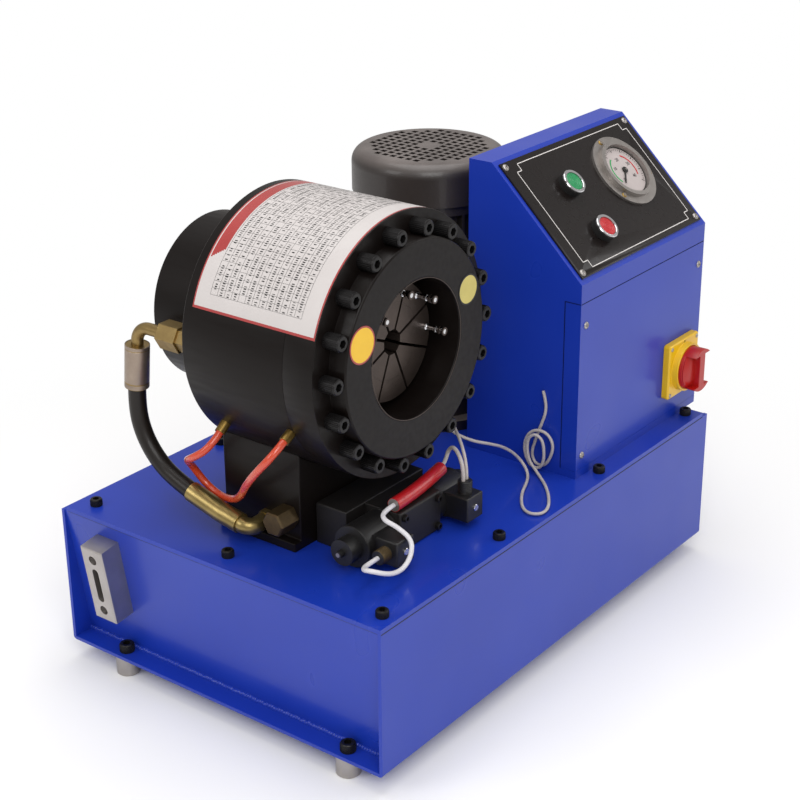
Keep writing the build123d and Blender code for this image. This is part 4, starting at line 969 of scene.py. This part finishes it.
class CRIMPER_OT_head(Operator):
    """The crimping head: its data sheet, discs and pull pins"""

    bl_idname = "crimper.head"
    bl_label = "Head"

    def execute(self, context):
        # The sheet's corners, as angles round the barrel in degrees and places along it in mm.
        first, last, front, back = 57.0, 161.0, -118.5, 38.0
        wrap("label_sheet", [(first, last, front, back)], "label_paper", 0.05)
        side, front_edge, back_edge = 1.1, 1.8, 1.6
        wrap("label_border", [
            (first, first + side, front, back), (last - side, last, front, back),
            (first, last, front, front + front_edge), (first, last, back - back_edge, back),
        ], "label_red", 0.09)
        band = [(first + 2, last - 22 - 0.7 * i, back - 5 - 2 * i, back - 3 - 2 * i) for i in range(7)]
        wrap("label_band", band, "label_red", 0.1)
        # The printed table: ruled rows and columns with a short mark in most of its cells.
        table_front, table_back, table_first, table_last = front + 21, back - 19, first + 3, last - 7
        rows, columns, marks_in_row = 13, 32, 95
        half_rule, rule_angle = 0.16, 0.11
        pitch = (table_back - table_front) / rows
        lines = []
        for i in range(rows + 1):
            y = table_front + i * pitch
            lines.append((table_first, table_last, y - half_rule, y + half_rule))
        for i in range(columns + 1):
            a = table_first + (table_last - table_first) * i / columns
            lines.append((a, a + rule_angle, table_front, table_back))
        wrap("label_rules", lines, "black_ink_and_shade", 0.12)
        arc = math.radians(table_last - table_first) * (BARREL_RADIUS + 0.4)
        turn = math.radians(90 - (table_first + table_last) / 2)
        place = Matrix.Translation(Vector((HEAD_X, (table_front + table_back) / 2, AXIS_Z)) * MM)
        place = place @ Matrix.Rotation(turn, 4, "Y")
        grow("label_marks", one_point("label_points"), label_tree(), {
            "Width": arc * (columns - 0.4) / columns * MM, "Depth": (table_back - table_front - pitch) * MM,
            "Columns": marks_in_row, "Rows": rows, "Radius": (BARREL_RADIUS + 0.15) * MM,
        }, "black_ink_and_shade", "machine", place)

        # Round vinyl discs on the front cover, no further out than its screws allow.
        reach_limit, border = 111.5, 1.6
        for name, x, z, radius, tint, rim in (
            ("yellow_disc", -99.7, 36.8, 19.0, "yellow_vinyl", "label_red"),
            ("pale_disc", 85.1, 38.1, 16.5, "pale_yellow_vinyl", "black_ink_and_shade"),
        ):
            reach = min(1.0, (reach_limit - radius) / math.hypot(x, z))
            place = facing((HEAD_X + x * reach, COVER_FRONT, AXIS_Z + z * reach), FRONT)
            inner = radius - border
            spun(name, [(0, 0.3), (inner, 0.3), (inner, 0)], place, tint, "machine", 48)
            spun(name + "_rim", [(inner - 0.1, 0), (inner - 0.1, 0.36), (radius, 0.36), (radius, 0)],
                 place, rim, "machine", 48)
        spun("bore_ring", [(72.1, 0.0), (72.1, 0.2), (72.9, 0.2), (72.9, 0.0)],
             facing((HEAD_X, COVER_FRONT, AXIS_Z), FRONT), "die_steel", "machine", 128)

        # Turned pins for pulling out the dies, on the four dies from the right side round the top.
        pin_circle, pin_seat, pitch_angle = 55.0, -108.0, math.radians(45)
        pin = [
            (4.1, 0.0), (4.1, 2.6), (3.2, 3.4), (2.56, 3.4), (2.56, 12.6), (3.4, 12.8), (3.4, 14.6),
            (2.56, 14.8), (2.56, 18.6), (3.9, 19.0), (4.35, 20.4), (4.35, 23.2), (3.6, 24.6),
            (2.2, 25.05), (0, 25.05),
        ]
        for k in range(1, 5):
            a = pitch_angle * (k - 1)
            spot = (HEAD_X + pin_circle * math.cos(a), pin_seat, AXIS_Z + pin_circle * math.sin(a))
            spun(f"pull_pin_{k}", pin, facing(spot, FRONT), "chrome", f"die_{k}", 32)
        soften("front_cover", 1.0)
        soften("barrel", 1.2)
        soften("pedestal", 1.2)
        return {"FINISHED"}


# ------------------------------------------------------------------ cords
class CRIMPER_OT_cords(Operator):
    """The hose, the drain tube and the valve's cables"""

    bl_idname = "crimper.cords"
    bl_label = "Cords"

    def execute(self, context):
        # The pressure hose drops from the elbow's ferrule and bends forward to its tail.
        route = [(-272, 137.5, 344), (-272, 141, 311), (-272, 134, 281), (-272, 116, 256), (-272, 90, 239),
                 (-272, 58, 229)]
        hose, length = flex("pressure_hose", route, 9.5, "hose_rubber", "hose_rubber", "hose")
        top, foot = Vector((-272, 133.5, 381.8)), Vector((-272, 138.55, 334.06))  # the ferrule's ends
        shell = [
            (12.4, -0.4), (13.15, -0.2), (13.15, 3), (12.8, 3.6), (13.15, 4.2), (13.15, 41),
            (12.7, 42), (13.15, 43), (13.15, 47.6), (12.2, 48.2), (9.6, 48.2),
        ]
        spun("hose_ferrule", shell, facing(top, foot - top), "ferrule_zinc", "machine",
             48)

        # The leakage tube hangs in a loop between the two fittings on the barrel's lower left.
        route = [(-287.65, -78, 334.90), (-305.47, -78, 325.82), (-306, -57, 303), (-297, -34, 279),
                 (-281, -12, 255), (-265, 12, 236), (-256, 40, 227), (-255, 64, 236), (-264, 72, 257),
                 (-282, 62, 274), (-296, 42, 286), (-289.77, 21, 300.69), (-273.80, 21, 312.73)]
        tube, length = flex("leakage_tube", route, 4.0, "orange_tube", "drain_orange", "drain_tube")

        # The left connector's cable loops round in front of the valve and rises to the red sleeve.
        route = [(-243, -156.5, 213), (-262, -156.5, 213), (-276, -164, 217), (-280, -177, 222),
                 (-270, -184, 217), (-253, -184, 209), (-234, -182, 206), (-219, -180, 213),
                 (-211, -175, 226), (-216, -160, 238), (-220, -146, 243), (-208.98, -136.81, 244.16),
                 (-190, -136, 244)]
        white, length = flex("white_cable", route, 2.5, "white_pvc", "cable_white", "solenoid_cable")
        sleeve_mouth = (-190, -136, 244)
        sleeve_route = [sleeve_mouth, (-143, -134, 243.6), (-98, -127, 247)]
        sleeve = flex(
            "red_cable_sleeve", sleeve_route, 7.5, "red_sleeve", "sleeve_red", "cable_sleeve",
        )[0]

        # The lead from the sleeve's other end arches over and down into the right connector.
        route = [(-98, -127, 247), (-86, -124, 249), (-81, -125, 262), (-86, -135, 270), (-93, -148, 266),
                 (-98, -156.5, 254), (-98, -156.5, 241)]
        lead, length = flex("connector_lead", route, 2.2, "grey_pvc", "cable_grey", "cable_sleeve")

        # The spare cable passes over the valve to the lid, lies in a bight, coils and ends bare.
        route = [(-92, -156.5, 241), (-92, -156.5, 254), (-82, -145, 267), (-66, -126, 275), (-54, -108, 281),
                 (-52, -92, 282), (-44, -82, 274), (-36, -88, 262), (-32, -103, 254), (-22, -117, 247),
                 (-3, -124, 239), (17, -127, 229), (34, -131, 216), (42, -138, 203), (37, -149, 194.5),
                 (19, -159, 193), (-2, -167, 193), (-22, -179, 193), (-36, -191, 193), (-41, -203, 193),
                 (-34, -213, 193), (-19, -212, 193), (4, -198, 193), (25, -180, 193), (37, -166, 193.5),
                 (45, -154, 196), (47, -143, 205), (48, -139, 220), (48.3, -141, 233), (48.7, -150, 239),
                 (49.2, -159, 233), (49.5, -161, 219), (50, -160, 206), (50.6, -154, 196.5), (52, -142, 196),
                 (53.5, -134, 206), (54.5, -131, 219), (55, -136, 234), (55.5, -148, 241.5), (56, -162, 239),
                 (56.5, -169, 226), (57, -164, 209), (58, -156, 197.5), (59.5, -143, 196.5),
                 (60.3, -137, 208), (60, -143, 227), (60.3, -149, 245), (60, -155, 261), (60.3, -155, 275),
                 (60, -151, 287)]
        spare, length = flex("spare_cable", route, 1.75, "grey_pvc", "cable_grey", "loose_cable")

        # A bright lining closes the sleeve's mouth round the white cable.
        spun("sleeve_lining", [(2.6, -0.4), (2.6, 0.3), (6.9, 0.3), (6.9, -0.4)],
             facing(sleeve_mouth, (-1, -0.04, 0.01), UP), "gauge_steel", "machine", 32)
        return {"FINISHED"}


# ------------------------------------------------------------------ valve
class CRIMPER_OT_valve(Operator):
    """The solenoid valve's coil rings, screws, gland ribs and override pin"""

    bl_idname = "crimper.valve"
    bl_label = "Valve"

    def execute(self, context):
        # Moulded rings round each coil, whose axis runs along X from the valve's body.
        coil_y, coil_z, body_middle, body_half = -121, 213, HEAD_X - 1, 35
        rings = [
            (21.8, 0.2), (22.35, 0.6), (22.35, 2.6), (21.8, 3.0), (21.8, 46.5), (22.35, 47.0),
            (22.35, 49.0), (21.6, 49.6),
        ]
        screw = [(0, 0.9), (0.5, 0.9), (0.5, 1.6), (3.2, 1.6), (3.8, 1.0), (3.8, 0)]
        for name, side, out, screw_x, slot in (
            ("left", -1, LEFT, -215, "connector_black"), ("right", 1, RIGHT, -95, "connector_grey"),
        ):
            place = facing((body_middle + side * body_half, coil_y, coil_z), out, UP)
            spun(f"coil_rings_{name}", rings, place, "black_nylon", "machine", 64)
            spun(f"connector_screw_{name}", screw, facing((screw_x, -170, coil_z), FRONT), "chrome",
                 "machine", 32)
        blocks("connector_ribs_left", [
            ((-226, -170.35, low), (-204, -169.9, low + 1.5)) for low in (201.5, 223.0)
        ], "black_nylon", "machine")

        # Ribs for the fingers round both cable glands.
        bare, ribbed, pitch = 7.55, 7.95, 1.9
        gland = []
        for i in range(7):
            gland += [(bare, 0.8 + i * pitch), (ribbed, 1.1 + i * pitch), (ribbed, 1.9 + i * pitch),
                      (bare, 2.2 + i * pitch)]
        spun("left_gland_ribs", gland, facing((-229, -156.5, coil_z), LEFT, UP), "gland_brass",
             "machine", 40)
        spun("right_gland_ribs", gland, facing((-95, -156.5, 227), UP), "black_nylon", "machine",
             40)
        spun("override_pin", [(0, 0.25), (2.4, 0.25), (2.4, 0)],
             facing((-262, coil_y, coil_z), LEFT, UP), "zinc_steel", "machine", 24)
        caps = [((x, -144, z), FRONT) for x in (-183, -127) for z in (197, 229)]
        grow("valve_screws", points_mesh("valve_points", caps), socket_screw_tree(),
             {"Head radius": 3.9 * MM, "Head height": 4.4 * MM, "Key radius": 2.3 * MM, "Knurls": 20},
             "screw_black", "machine")
        soften("valve_block valve_body", 0.8)
        soften("connector_left connector_right", 1.0)
        return {"FINISHED"}


# ------------------------------------------------------------------ motor
class CRIMPER_OT_motor(Operator):
    """The seam and the screws of the motor's terminal box"""

    bl_idname = "crimper.motor"
    bl_label = "Motor"

    def execute(self, context):
        low, high = (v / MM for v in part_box("terminal_box"))
        inset, sunk = 8, 0.2
        pans = [((high.x - sunk, y, z), RIGHT) for y in (low.y + inset, high.y - inset)
                for z in (low.z + inset, high.z - inset)]
        grow("terminal_screws", points_mesh("terminal_points", pans), pan_screw_tree(),
             {"Head radius": 3.4 * MM, "Rise": 2.0 * MM}, "zinc_steel", "machine")
        soften("terminal_box", 1.6, 3)
        blocks("terminal_seam", [
            ((high.x - 12, low.y - 0.15, low.z + 1), (high.x - 11, high.y + 0.15, high.z - 1)),
        ], "dark_rubber_and_shade", "machine")
        return {"FINISHED"}


# ------------------------------------------------------------------ control panel
def tick_tree():
    """Marks round a dial, from one angle through a sweep."""
    tree, given, result = new_tree("dial_ticks", [
        ("Count", "NodeSocketInt", 41), ("Radius", "NodeSocketFloat", 0.028),
        ("Start", "NodeSocketFloat", 3.92), ("Sweep", "NodeSocketFloat", 4.71),
        ("Length", "NodeSocketFloat", 0.002),
        ("Width", "NodeSocketFloat", 0.0003), ("Material", "NodeSocketMaterial", None),
    ])
    line = node(tree, "GeometryNodeMeshLine", {"Count": given.outputs["Count"]})
    index = node(tree, "GeometryNodeInputIndex").outputs[0]
    last = maths(tree, "SUBTRACT", given.outputs["Count"], 1.0)
    part = maths(tree, "DIVIDE", index, last)
    swept = maths(tree, "MULTIPLY", part, given.outputs["Sweep"])
    turn = maths(tree, "SUBTRACT", given.outputs["Start"], swept)
    radius = given.outputs["Radius"]
    spot = node(tree, "ShaderNodeCombineXYZ", {
        "X": maths(tree, "MULTIPLY", radius, maths(tree, "COSINE", turn)),
        "Y": maths(tree, "MULTIPLY", radius, maths(tree, "SINE", turn)),
    })
    placed = node(tree, "GeometryNodeSetPosition", {"Geometry": line.outputs[0], "Position": spot.outputs[0]})
    size = node(tree, "ShaderNodeCombineXYZ", {
        "X": given.outputs["Length"], "Y": given.outputs["Width"], "Z": 0.0001,
    })
    mark = node(tree, "GeometryNodeMeshCube", {"Size": size.outputs[0]})
    angles = node(tree, "ShaderNodeCombineXYZ", {"Z": turn})
    rotation = node(tree, "FunctionNodeEulerToRotation", {0: angles.outputs[0]})
    marks = node(tree, "GeometryNodeInstanceOnPoints", {
        "Points": placed.outputs[0], "Instance": mark.outputs[0], "Rotation": rotation.outputs[0],
    })
    return close_tree(tree, given, result, marks.outputs[0])


def sector(name, inner, outer, first, last, place, material):
    """A flat part of a ring between two angles in degrees."""
    steps = max(4, int(abs(last - first) / 3))
    bm = bmesh.new()
    near, far = [], []
    for i in range(steps + 1):
        a = math.radians(first + (last - first) * i / steps)
        near.append(bm.verts.new((inner * MM * math.cos(a), inner * MM * math.sin(a), 0)))
        far.append(bm.verts.new((outer * MM * math.cos(a), outer * MM * math.sin(a), 0)))
    for i in range(steps):
        face = bm.faces.new((near[i], far[i], far[i + 1], near[i + 1]))
        face.normal_update()
        if face.normal.z < 0:
            face.normal_flip()
    return piece(name, kept(bm, name, place), material, "machine")


class CRIMPER_OT_panel(Operator):
    """The control panel's printed line, button rims and rings, and the gauge's dial"""

    bl_idname = "crimper.panel_details"
    bl_label = "Control panel"

    def execute(self, context):
        # A printed line round the panel, stepping in at each corner.
        left, bottom, right, top, step, half_line = 24.0, 13.0, 252.0, 152.0, 9.0, 0.45
        runs = [
            ((left + step, bottom), (right - step, bottom)), ((left + step, top), (right - step, top)),
            ((left, bottom + step), (left, top - step)), ((right, bottom + step), (right, top - step)),
        ]
        # Two short runs at each corner join at its inward point.
        for low, high in ((left, left + step), (right - step, right)):
            inward = high if low == left else low
            for up, outer in ((bottom + step, bottom), (top - step, top)):
                runs.append(((low, up), (high, up)))
                runs.append(((inward, min(up, outer)), (inward, max(up, outer))))
        blocks("panel_line", [
            ((a[0] - half_line, a[1] - half_line, 0.0), (b[0] + half_line, b[1] + half_line, 0.12))
            for a, b in runs
        ], "white_ink", "machine", on_slope(0, 0))

        # The gauge: its dial plate, and the printed marks and a painted ring of bezel shadow that stand 0.15
        # mm over it.
        dial = on_slope(GAUGE_ALONG, GAUGE_UP, 2.15)
        spun("dial_face", [(0, 0.0), (31.9, 0.0)], dial, "dial_enamel", "machine", 96,
             smooth=False)
        tree = tick_tree()
        over = on_slope(GAUGE_ALONG, GAUGE_UP, 2.3)
        start, sweep = 225.0, 270.0
        for name, count, reach, length, width in (
            ("dial_small_ticks", 41, 28.2, 2.4, 0.4), ("dial_long_ticks", 9, 27.4, 4.2, 0.8),
        ):
            grow(name, one_point(name), tree, {
                "Count": count, "Radius": reach * MM, "Start": math.radians(start),
                "Sweep": math.radians(sweep), "Length": length * MM, "Width": width * MM,
            }, "black_ink_and_shade", "machine", over)
        # The arcs are print; the black ring at the dial's rim is painted shadow of the bezel.
        for name, inner, outer, first, last, ink in (
            ("dial_green_arc", 19.6, 21.6, 215, 120, "green_ink"),
            ("dial_red_arc", 19.6, 21.6, 62, -30, "red_ink"),
            ("dial_bezel_shadow", 30.7, 31.8, -180, 180, "black_ink_and_shade"),
        ):
            sector(name, inner, outer, first, last, over, ink)
        figures, figure_circle = 5, 14.8
        for i in range(figures):
            a = math.radians(start - sweep * i / (figures - 1))
            spot = Vector((figure_circle * math.cos(a), figure_circle * math.sin(a), 0)) * MM
            words(f"dial_number_{10 * i}", str(10 * i), 6.0, over @ Matrix.Translation(spot),
                  "black_ink_and_shade", "machine")
        screw_circle, pans = 41.5, []
        for i in range(3):
            a = math.radians(100 + 120 * i)
            along, up = GAUGE_ALONG + screw_circle * math.cos(a), GAUGE_UP + screw_circle * math.sin(a)
            pans.append((on_slope(along, up, 2.9).translation / MM, SLOPE_OUT))
        grow("gauge_flange_screws", points_mesh("gauge_points", pans), pan_screw_tree(),
             {"Head radius": 3.3 * MM, "Rise": 1.9 * MM}, "brass", "machine")

        # Each button has a bright bezel rim and four fine rings moulded into its cap.
        rim = [(11.5, 8.4), (11.5, 9.9), (12.1, 10.3), (14.3, 10.2), (15.0, 9.5), (15.0, 7.6)]
        rings = []
        for i in range(4):
            r = 2.2 + 2.3 * i
            rings += [(r, 0.02), (r + 0.35, 0.3), (r + 0.75, 0.3), (r + 1.1, 0.02)]
        for body, up, cap, slot in (
            ("close_button", CLOSE_UP, "green_cap", "button_green"),
            ("open_button", OPEN_UP, "red_cap", "button_red"),
        ):
            spun(f"{body}_rim", rim, on_slope(BUTTON_ALONG, up), "chrome", "machine", 64)
            spun(f"{body}_rings", rings, on_slope(BUTTON_ALONG, up, 8.95), cap, body, 48)
        return {"FINISHED"}


# ------------------------------------------------------------------ switch
class CRIMPER_OT_switch(Operator):
    """The main switch's marks, screws and knob face"""

    bl_idname = "crimper.switch"
    bl_label = "Main switch"

    def execute(self, context):
        for name, text, across, up in (("mark_0", "0", 0, 30.6), ("mark_1", "1", 30.4, 0)):
            place = facing((SWITCH_X + across, SWITCH_FACE - 0.05, SWITCH_Z + up), FRONT)
            words(f"switch_{name}", text, 5.4, place, "black_ink_and_shade", "machine", 0.2)
        reach = 29.0
        caps = [((SWITCH_X + a * reach, SWITCH_FACE, SWITCH_Z + b * reach), FRONT)
                for a in (-1, 1) for b in (-1, 1)]
        grow("switch_screws", points_mesh("switch_points", caps), pan_screw_tree(),
             {"Head radius": 2.6 * MM, "Rise": 1.3 * MM}, "zinc_steel", "machine")
        dome = [(0, 18.4), (12, 18.0), (20, 16.6), (25.0, 13.2), (25.2, 9.0)]
        spun("knob_face", dome, facing((SWITCH_X, SWITCH_FACE, SWITCH_Z), FRONT), "red_abs",
             "switch_knob", 64)
        grip_front, grip_back = SWITCH_FACE - 24.98, SWITCH_FACE - 24.6
        blocks("grip_mark", [
            ((SWITCH_X - 0.8, grip_front, SWITCH_Z + 13), (SWITCH_X + 0.8, grip_back, SWITCH_Z + 21)),
        ], "white_ink", "switch_knob")
        soften("switch_plate", 1.2, 3)
        soften("switch_knob", 0.9, 2)
        return {"FINISHED"}


# ------------------------------------------------------------------ cabinet
class CRIMPER_OT_cabinet(Operator):
    """The cabinet's door seam, painted as shade, and its folded edges"""

    bl_idname = "crimper.cabinet"
    bl_label = "Cabinet"

    def execute(self, context):
        # Painted shade stands for the dark gap over the door, and behind the flange that it folds round the
        # left side.
        low, high = (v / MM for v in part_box("door"))
        seam, half_gap, proud, sunk, fold, flange = high.z + 0.5, 0.5, 0.12, 0.3, 0.6, 19.8
        front, left = CAB_FRONT, CAB_LEFT
        blocks("door_seam_shade", [
            ((left + fold, front - proud, seam - half_gap),
             (CAB_RIGHT - fold, front + sunk, seam + half_gap)),
            ((left - proud, front + fold, seam - half_gap),
             (left + sunk, front + flange + 0.8, seam + half_gap)),
            ((left - proud, front + flange, low.z), (left + sunk, front + flange + 1.0, seam)),
        ], "seam_shadow", "machine")
        soften("cabinet", 1.5, 3)
        soften("door", 1.2, 3)
        soften("control_panel", 0.5)
        return {"FINISHED"}


# ------------------------------------------------------------------ stage
def lamp(name, spot, aim, size, power):
    """A soft white square lamp facing a point."""
    light = bpy.data.lights.new(name, "AREA")
    light.shape = "SQUARE"
    light.size = size
    light.energy = power
    made = linked(name, light)
    made.location = spot
    made.rotation_mode = "QUATERNION"
    made.rotation_quaternion = (Vector(aim) - Vector(spot)).to_track_quat("-Z", "Y")


class CRIMPER_OT_stage(Operator):
    """The floor, the lamps, the background and the camera"""

    bl_idname = "crimper.stage"
    bl_label = "Stage"

    def execute(self, context):
        look = context.scene.crimper_stage
        material, tree, shader = start_material("matt_white_floor")
        shader.inputs["Base Color"].default_value = (*look.floor_colour, 1)
        shader.inputs["Roughness"].default_value = 0.85
        shader.inputs["Specular IOR Level"].default_value = 0.1
        place = node(tree, "ShaderNodeTexCoord").outputs["Object"]
        # Beyond the soft shadows the floor turns to plain white, so that it has no horizon.
        reach = node(tree, "ShaderNodeVectorMath", {0: place}, operation="LENGTH").outputs["Value"]
        far = node(
            tree, "ShaderNodeMapRange", {"Value": reach, "From Min": 0.45, "From Max": 0.95},
            interpolation_type="SMOOTHSTEP",
        )
        seen = node(tree, "ShaderNodeLightPath").outputs["Is Camera Ray"]
        bright = node(tree, "ShaderNodeMath", {0: far.outputs[0], 1: seen}, operation="MULTIPLY")
        white = node(tree, "ShaderNodeEmission", {"Color": linear("#ffffff"), "Strength": 1.0})
        faded = node(
            tree, "ShaderNodeMixShader",
            {0: bright.outputs[0], 1: shader.outputs[0], 2: white.outputs[0]},
        )
        last = next(n for n in tree.nodes if n.bl_idname == "ShaderNodeOutputMaterial")
        tree.links.new(faded.outputs[0], last.inputs["Surface"])
        mesh = bpy.data.meshes.new("floor")
        half = 9
        corners = [(-half, -half, 0), (half, -half, 0), (half, half, 0), (-half, half, 0)]
        mesh.from_pydata(corners, [], [(0, 1, 2, 3)])
        mesh.materials.append(material)
        linked("floor", mesh)
        world = bpy.data.worlds.new("studio")
        context.scene.world = world
        world.use_nodes = True
        sky = world.node_tree
        sky.nodes.clear()
        path = node(sky, "ShaderNodeLightPath")
        seen = node(
            sky, "ShaderNodeMath",
            {0: path.outputs["Is Camera Ray"], 1: path.outputs["Is Transmission Ray"]},
            operation="MAXIMUM",
        )
        even = node(
            sky, "ShaderNodeBackground", {"Color": linear("#f1eeec"), "Strength": look.sky_level},
        )
        white = node(sky, "ShaderNodeBackground", {"Color": linear("#ffffff"), "Strength": 1.0})
        mixed = node(
            sky, "ShaderNodeMixShader", {0: seen.outputs[0], 1: even.outputs[0], 2: white.outputs[0]},
        )
        node(sky, "ShaderNodeOutputWorld", {"Surface": mixed.outputs[0]})
        level = look.light_level
        for name, spot, aim_height, size, power in (
            ("key_lamp", (-1.9, -1.7, 2.2), 0.2, 1.6, 40), ("side_lamp", (-2.2, 0.9, 1.6), 0.25, 1.0, 12),
            ("right_lamp", (2.0, -1.8, 1.4), 0.25, 1.2, 12), ("top_lamp", (0.1, 0.1, 2.6), 0.2, 2.0, 34),
        ):
            lamp(name, spot, (0, 0, aim_height), size, power * level)
        camera = bpy.data.cameras.new("camera")
        camera.lens = 78.15
        camera.sensor_width = 36
        eye = linked("camera", camera)
        stand = (-1.424, -1.101, 1.043)
        azimuth, elevation, roll = (math.radians(v) for v in (-52.24, 23.56, -0.53))
        back = Vector((
            math.sin(azimuth) * math.cos(elevation), -math.cos(azimuth) * math.cos(elevation),
            math.sin(elevation),
        ))
        level_right = Vector((math.cos(azimuth), math.sin(azimuth), 0))
        level_up = back.cross(level_right)
        right = level_right * math.cos(roll) + level_up * math.sin(roll)
        up = level_up * math.cos(roll) - level_right * math.sin(roll)
        eye.matrix_world = Matrix.Translation(stand) @ Matrix((right, up, back)).transposed().to_4x4()
        context.scene.camera = eye
        context.scene.view_settings.view_transform = "Standard"
        return {"FINISHED"}


# ------------------------------------------------------------------ sidebar
ACTIONS = (
    "finishes", "tank", "head", "screws", "cords", "valve", "motor", "cabinet", "panel_details",
    "switch", "stage",
)


class CRIMPER_PT_sidebar(Panel):
    """Settings and actions of the crimping machine"""

    bl_idname = "CRIMPER_PT_sidebar"
    bl_label = "Hose crimping machine"
    bl_space_type = "VIEW_3D"
    bl_region_type = "UI"
    bl_category = "Crimper"

    def draw(self, context):
        scene = context.scene
        for group in (scene.crimper_colours, scene.crimper_screws, scene.crimper_stage):
            box = self.layout.box()
            for key in group.bl_rna.properties.keys():
                if key not in ("rna_type", "name"):
                    box.prop(group, key)
        for action in ACTIONS:
            self.layout.operator("crimper." + action)


CLASSES = (
    CrimperColours, CrimperScrews, CrimperStage, CRIMPER_OT_finishes, CRIMPER_OT_screws,
    CRIMPER_OT_tank, CRIMPER_OT_head, CRIMPER_OT_cords, CRIMPER_OT_valve, CRIMPER_OT_motor,
    CRIMPER_OT_panel, CRIMPER_OT_switch, CRIMPER_OT_cabinet, CRIMPER_OT_stage, CRIMPER_PT_sidebar,
)


def register():
    for made in CLASSES:
        bpy.utils.register_class(made)
    bpy.types.Scene.crimper_colours = PointerProperty(type=CrimperColours)
    bpy.types.Scene.crimper_screws = PointerProperty(type=CrimperScrews)
    bpy.types.Scene.crimper_stage = PointerProperty(type=CrimperStage)


def unregister():
    del bpy.types.Scene.crimper_stage
    del bpy.types.Scene.crimper_screws
    del bpy.types.Scene.crimper_colours
    for made in reversed(CLASSES):
        bpy.utils.unregister_class(made)


def main():
    register()
    for action in ACTIONS:
        getattr(bpy.ops.crimper, action)()


if __name__ == "__main__":
    main()
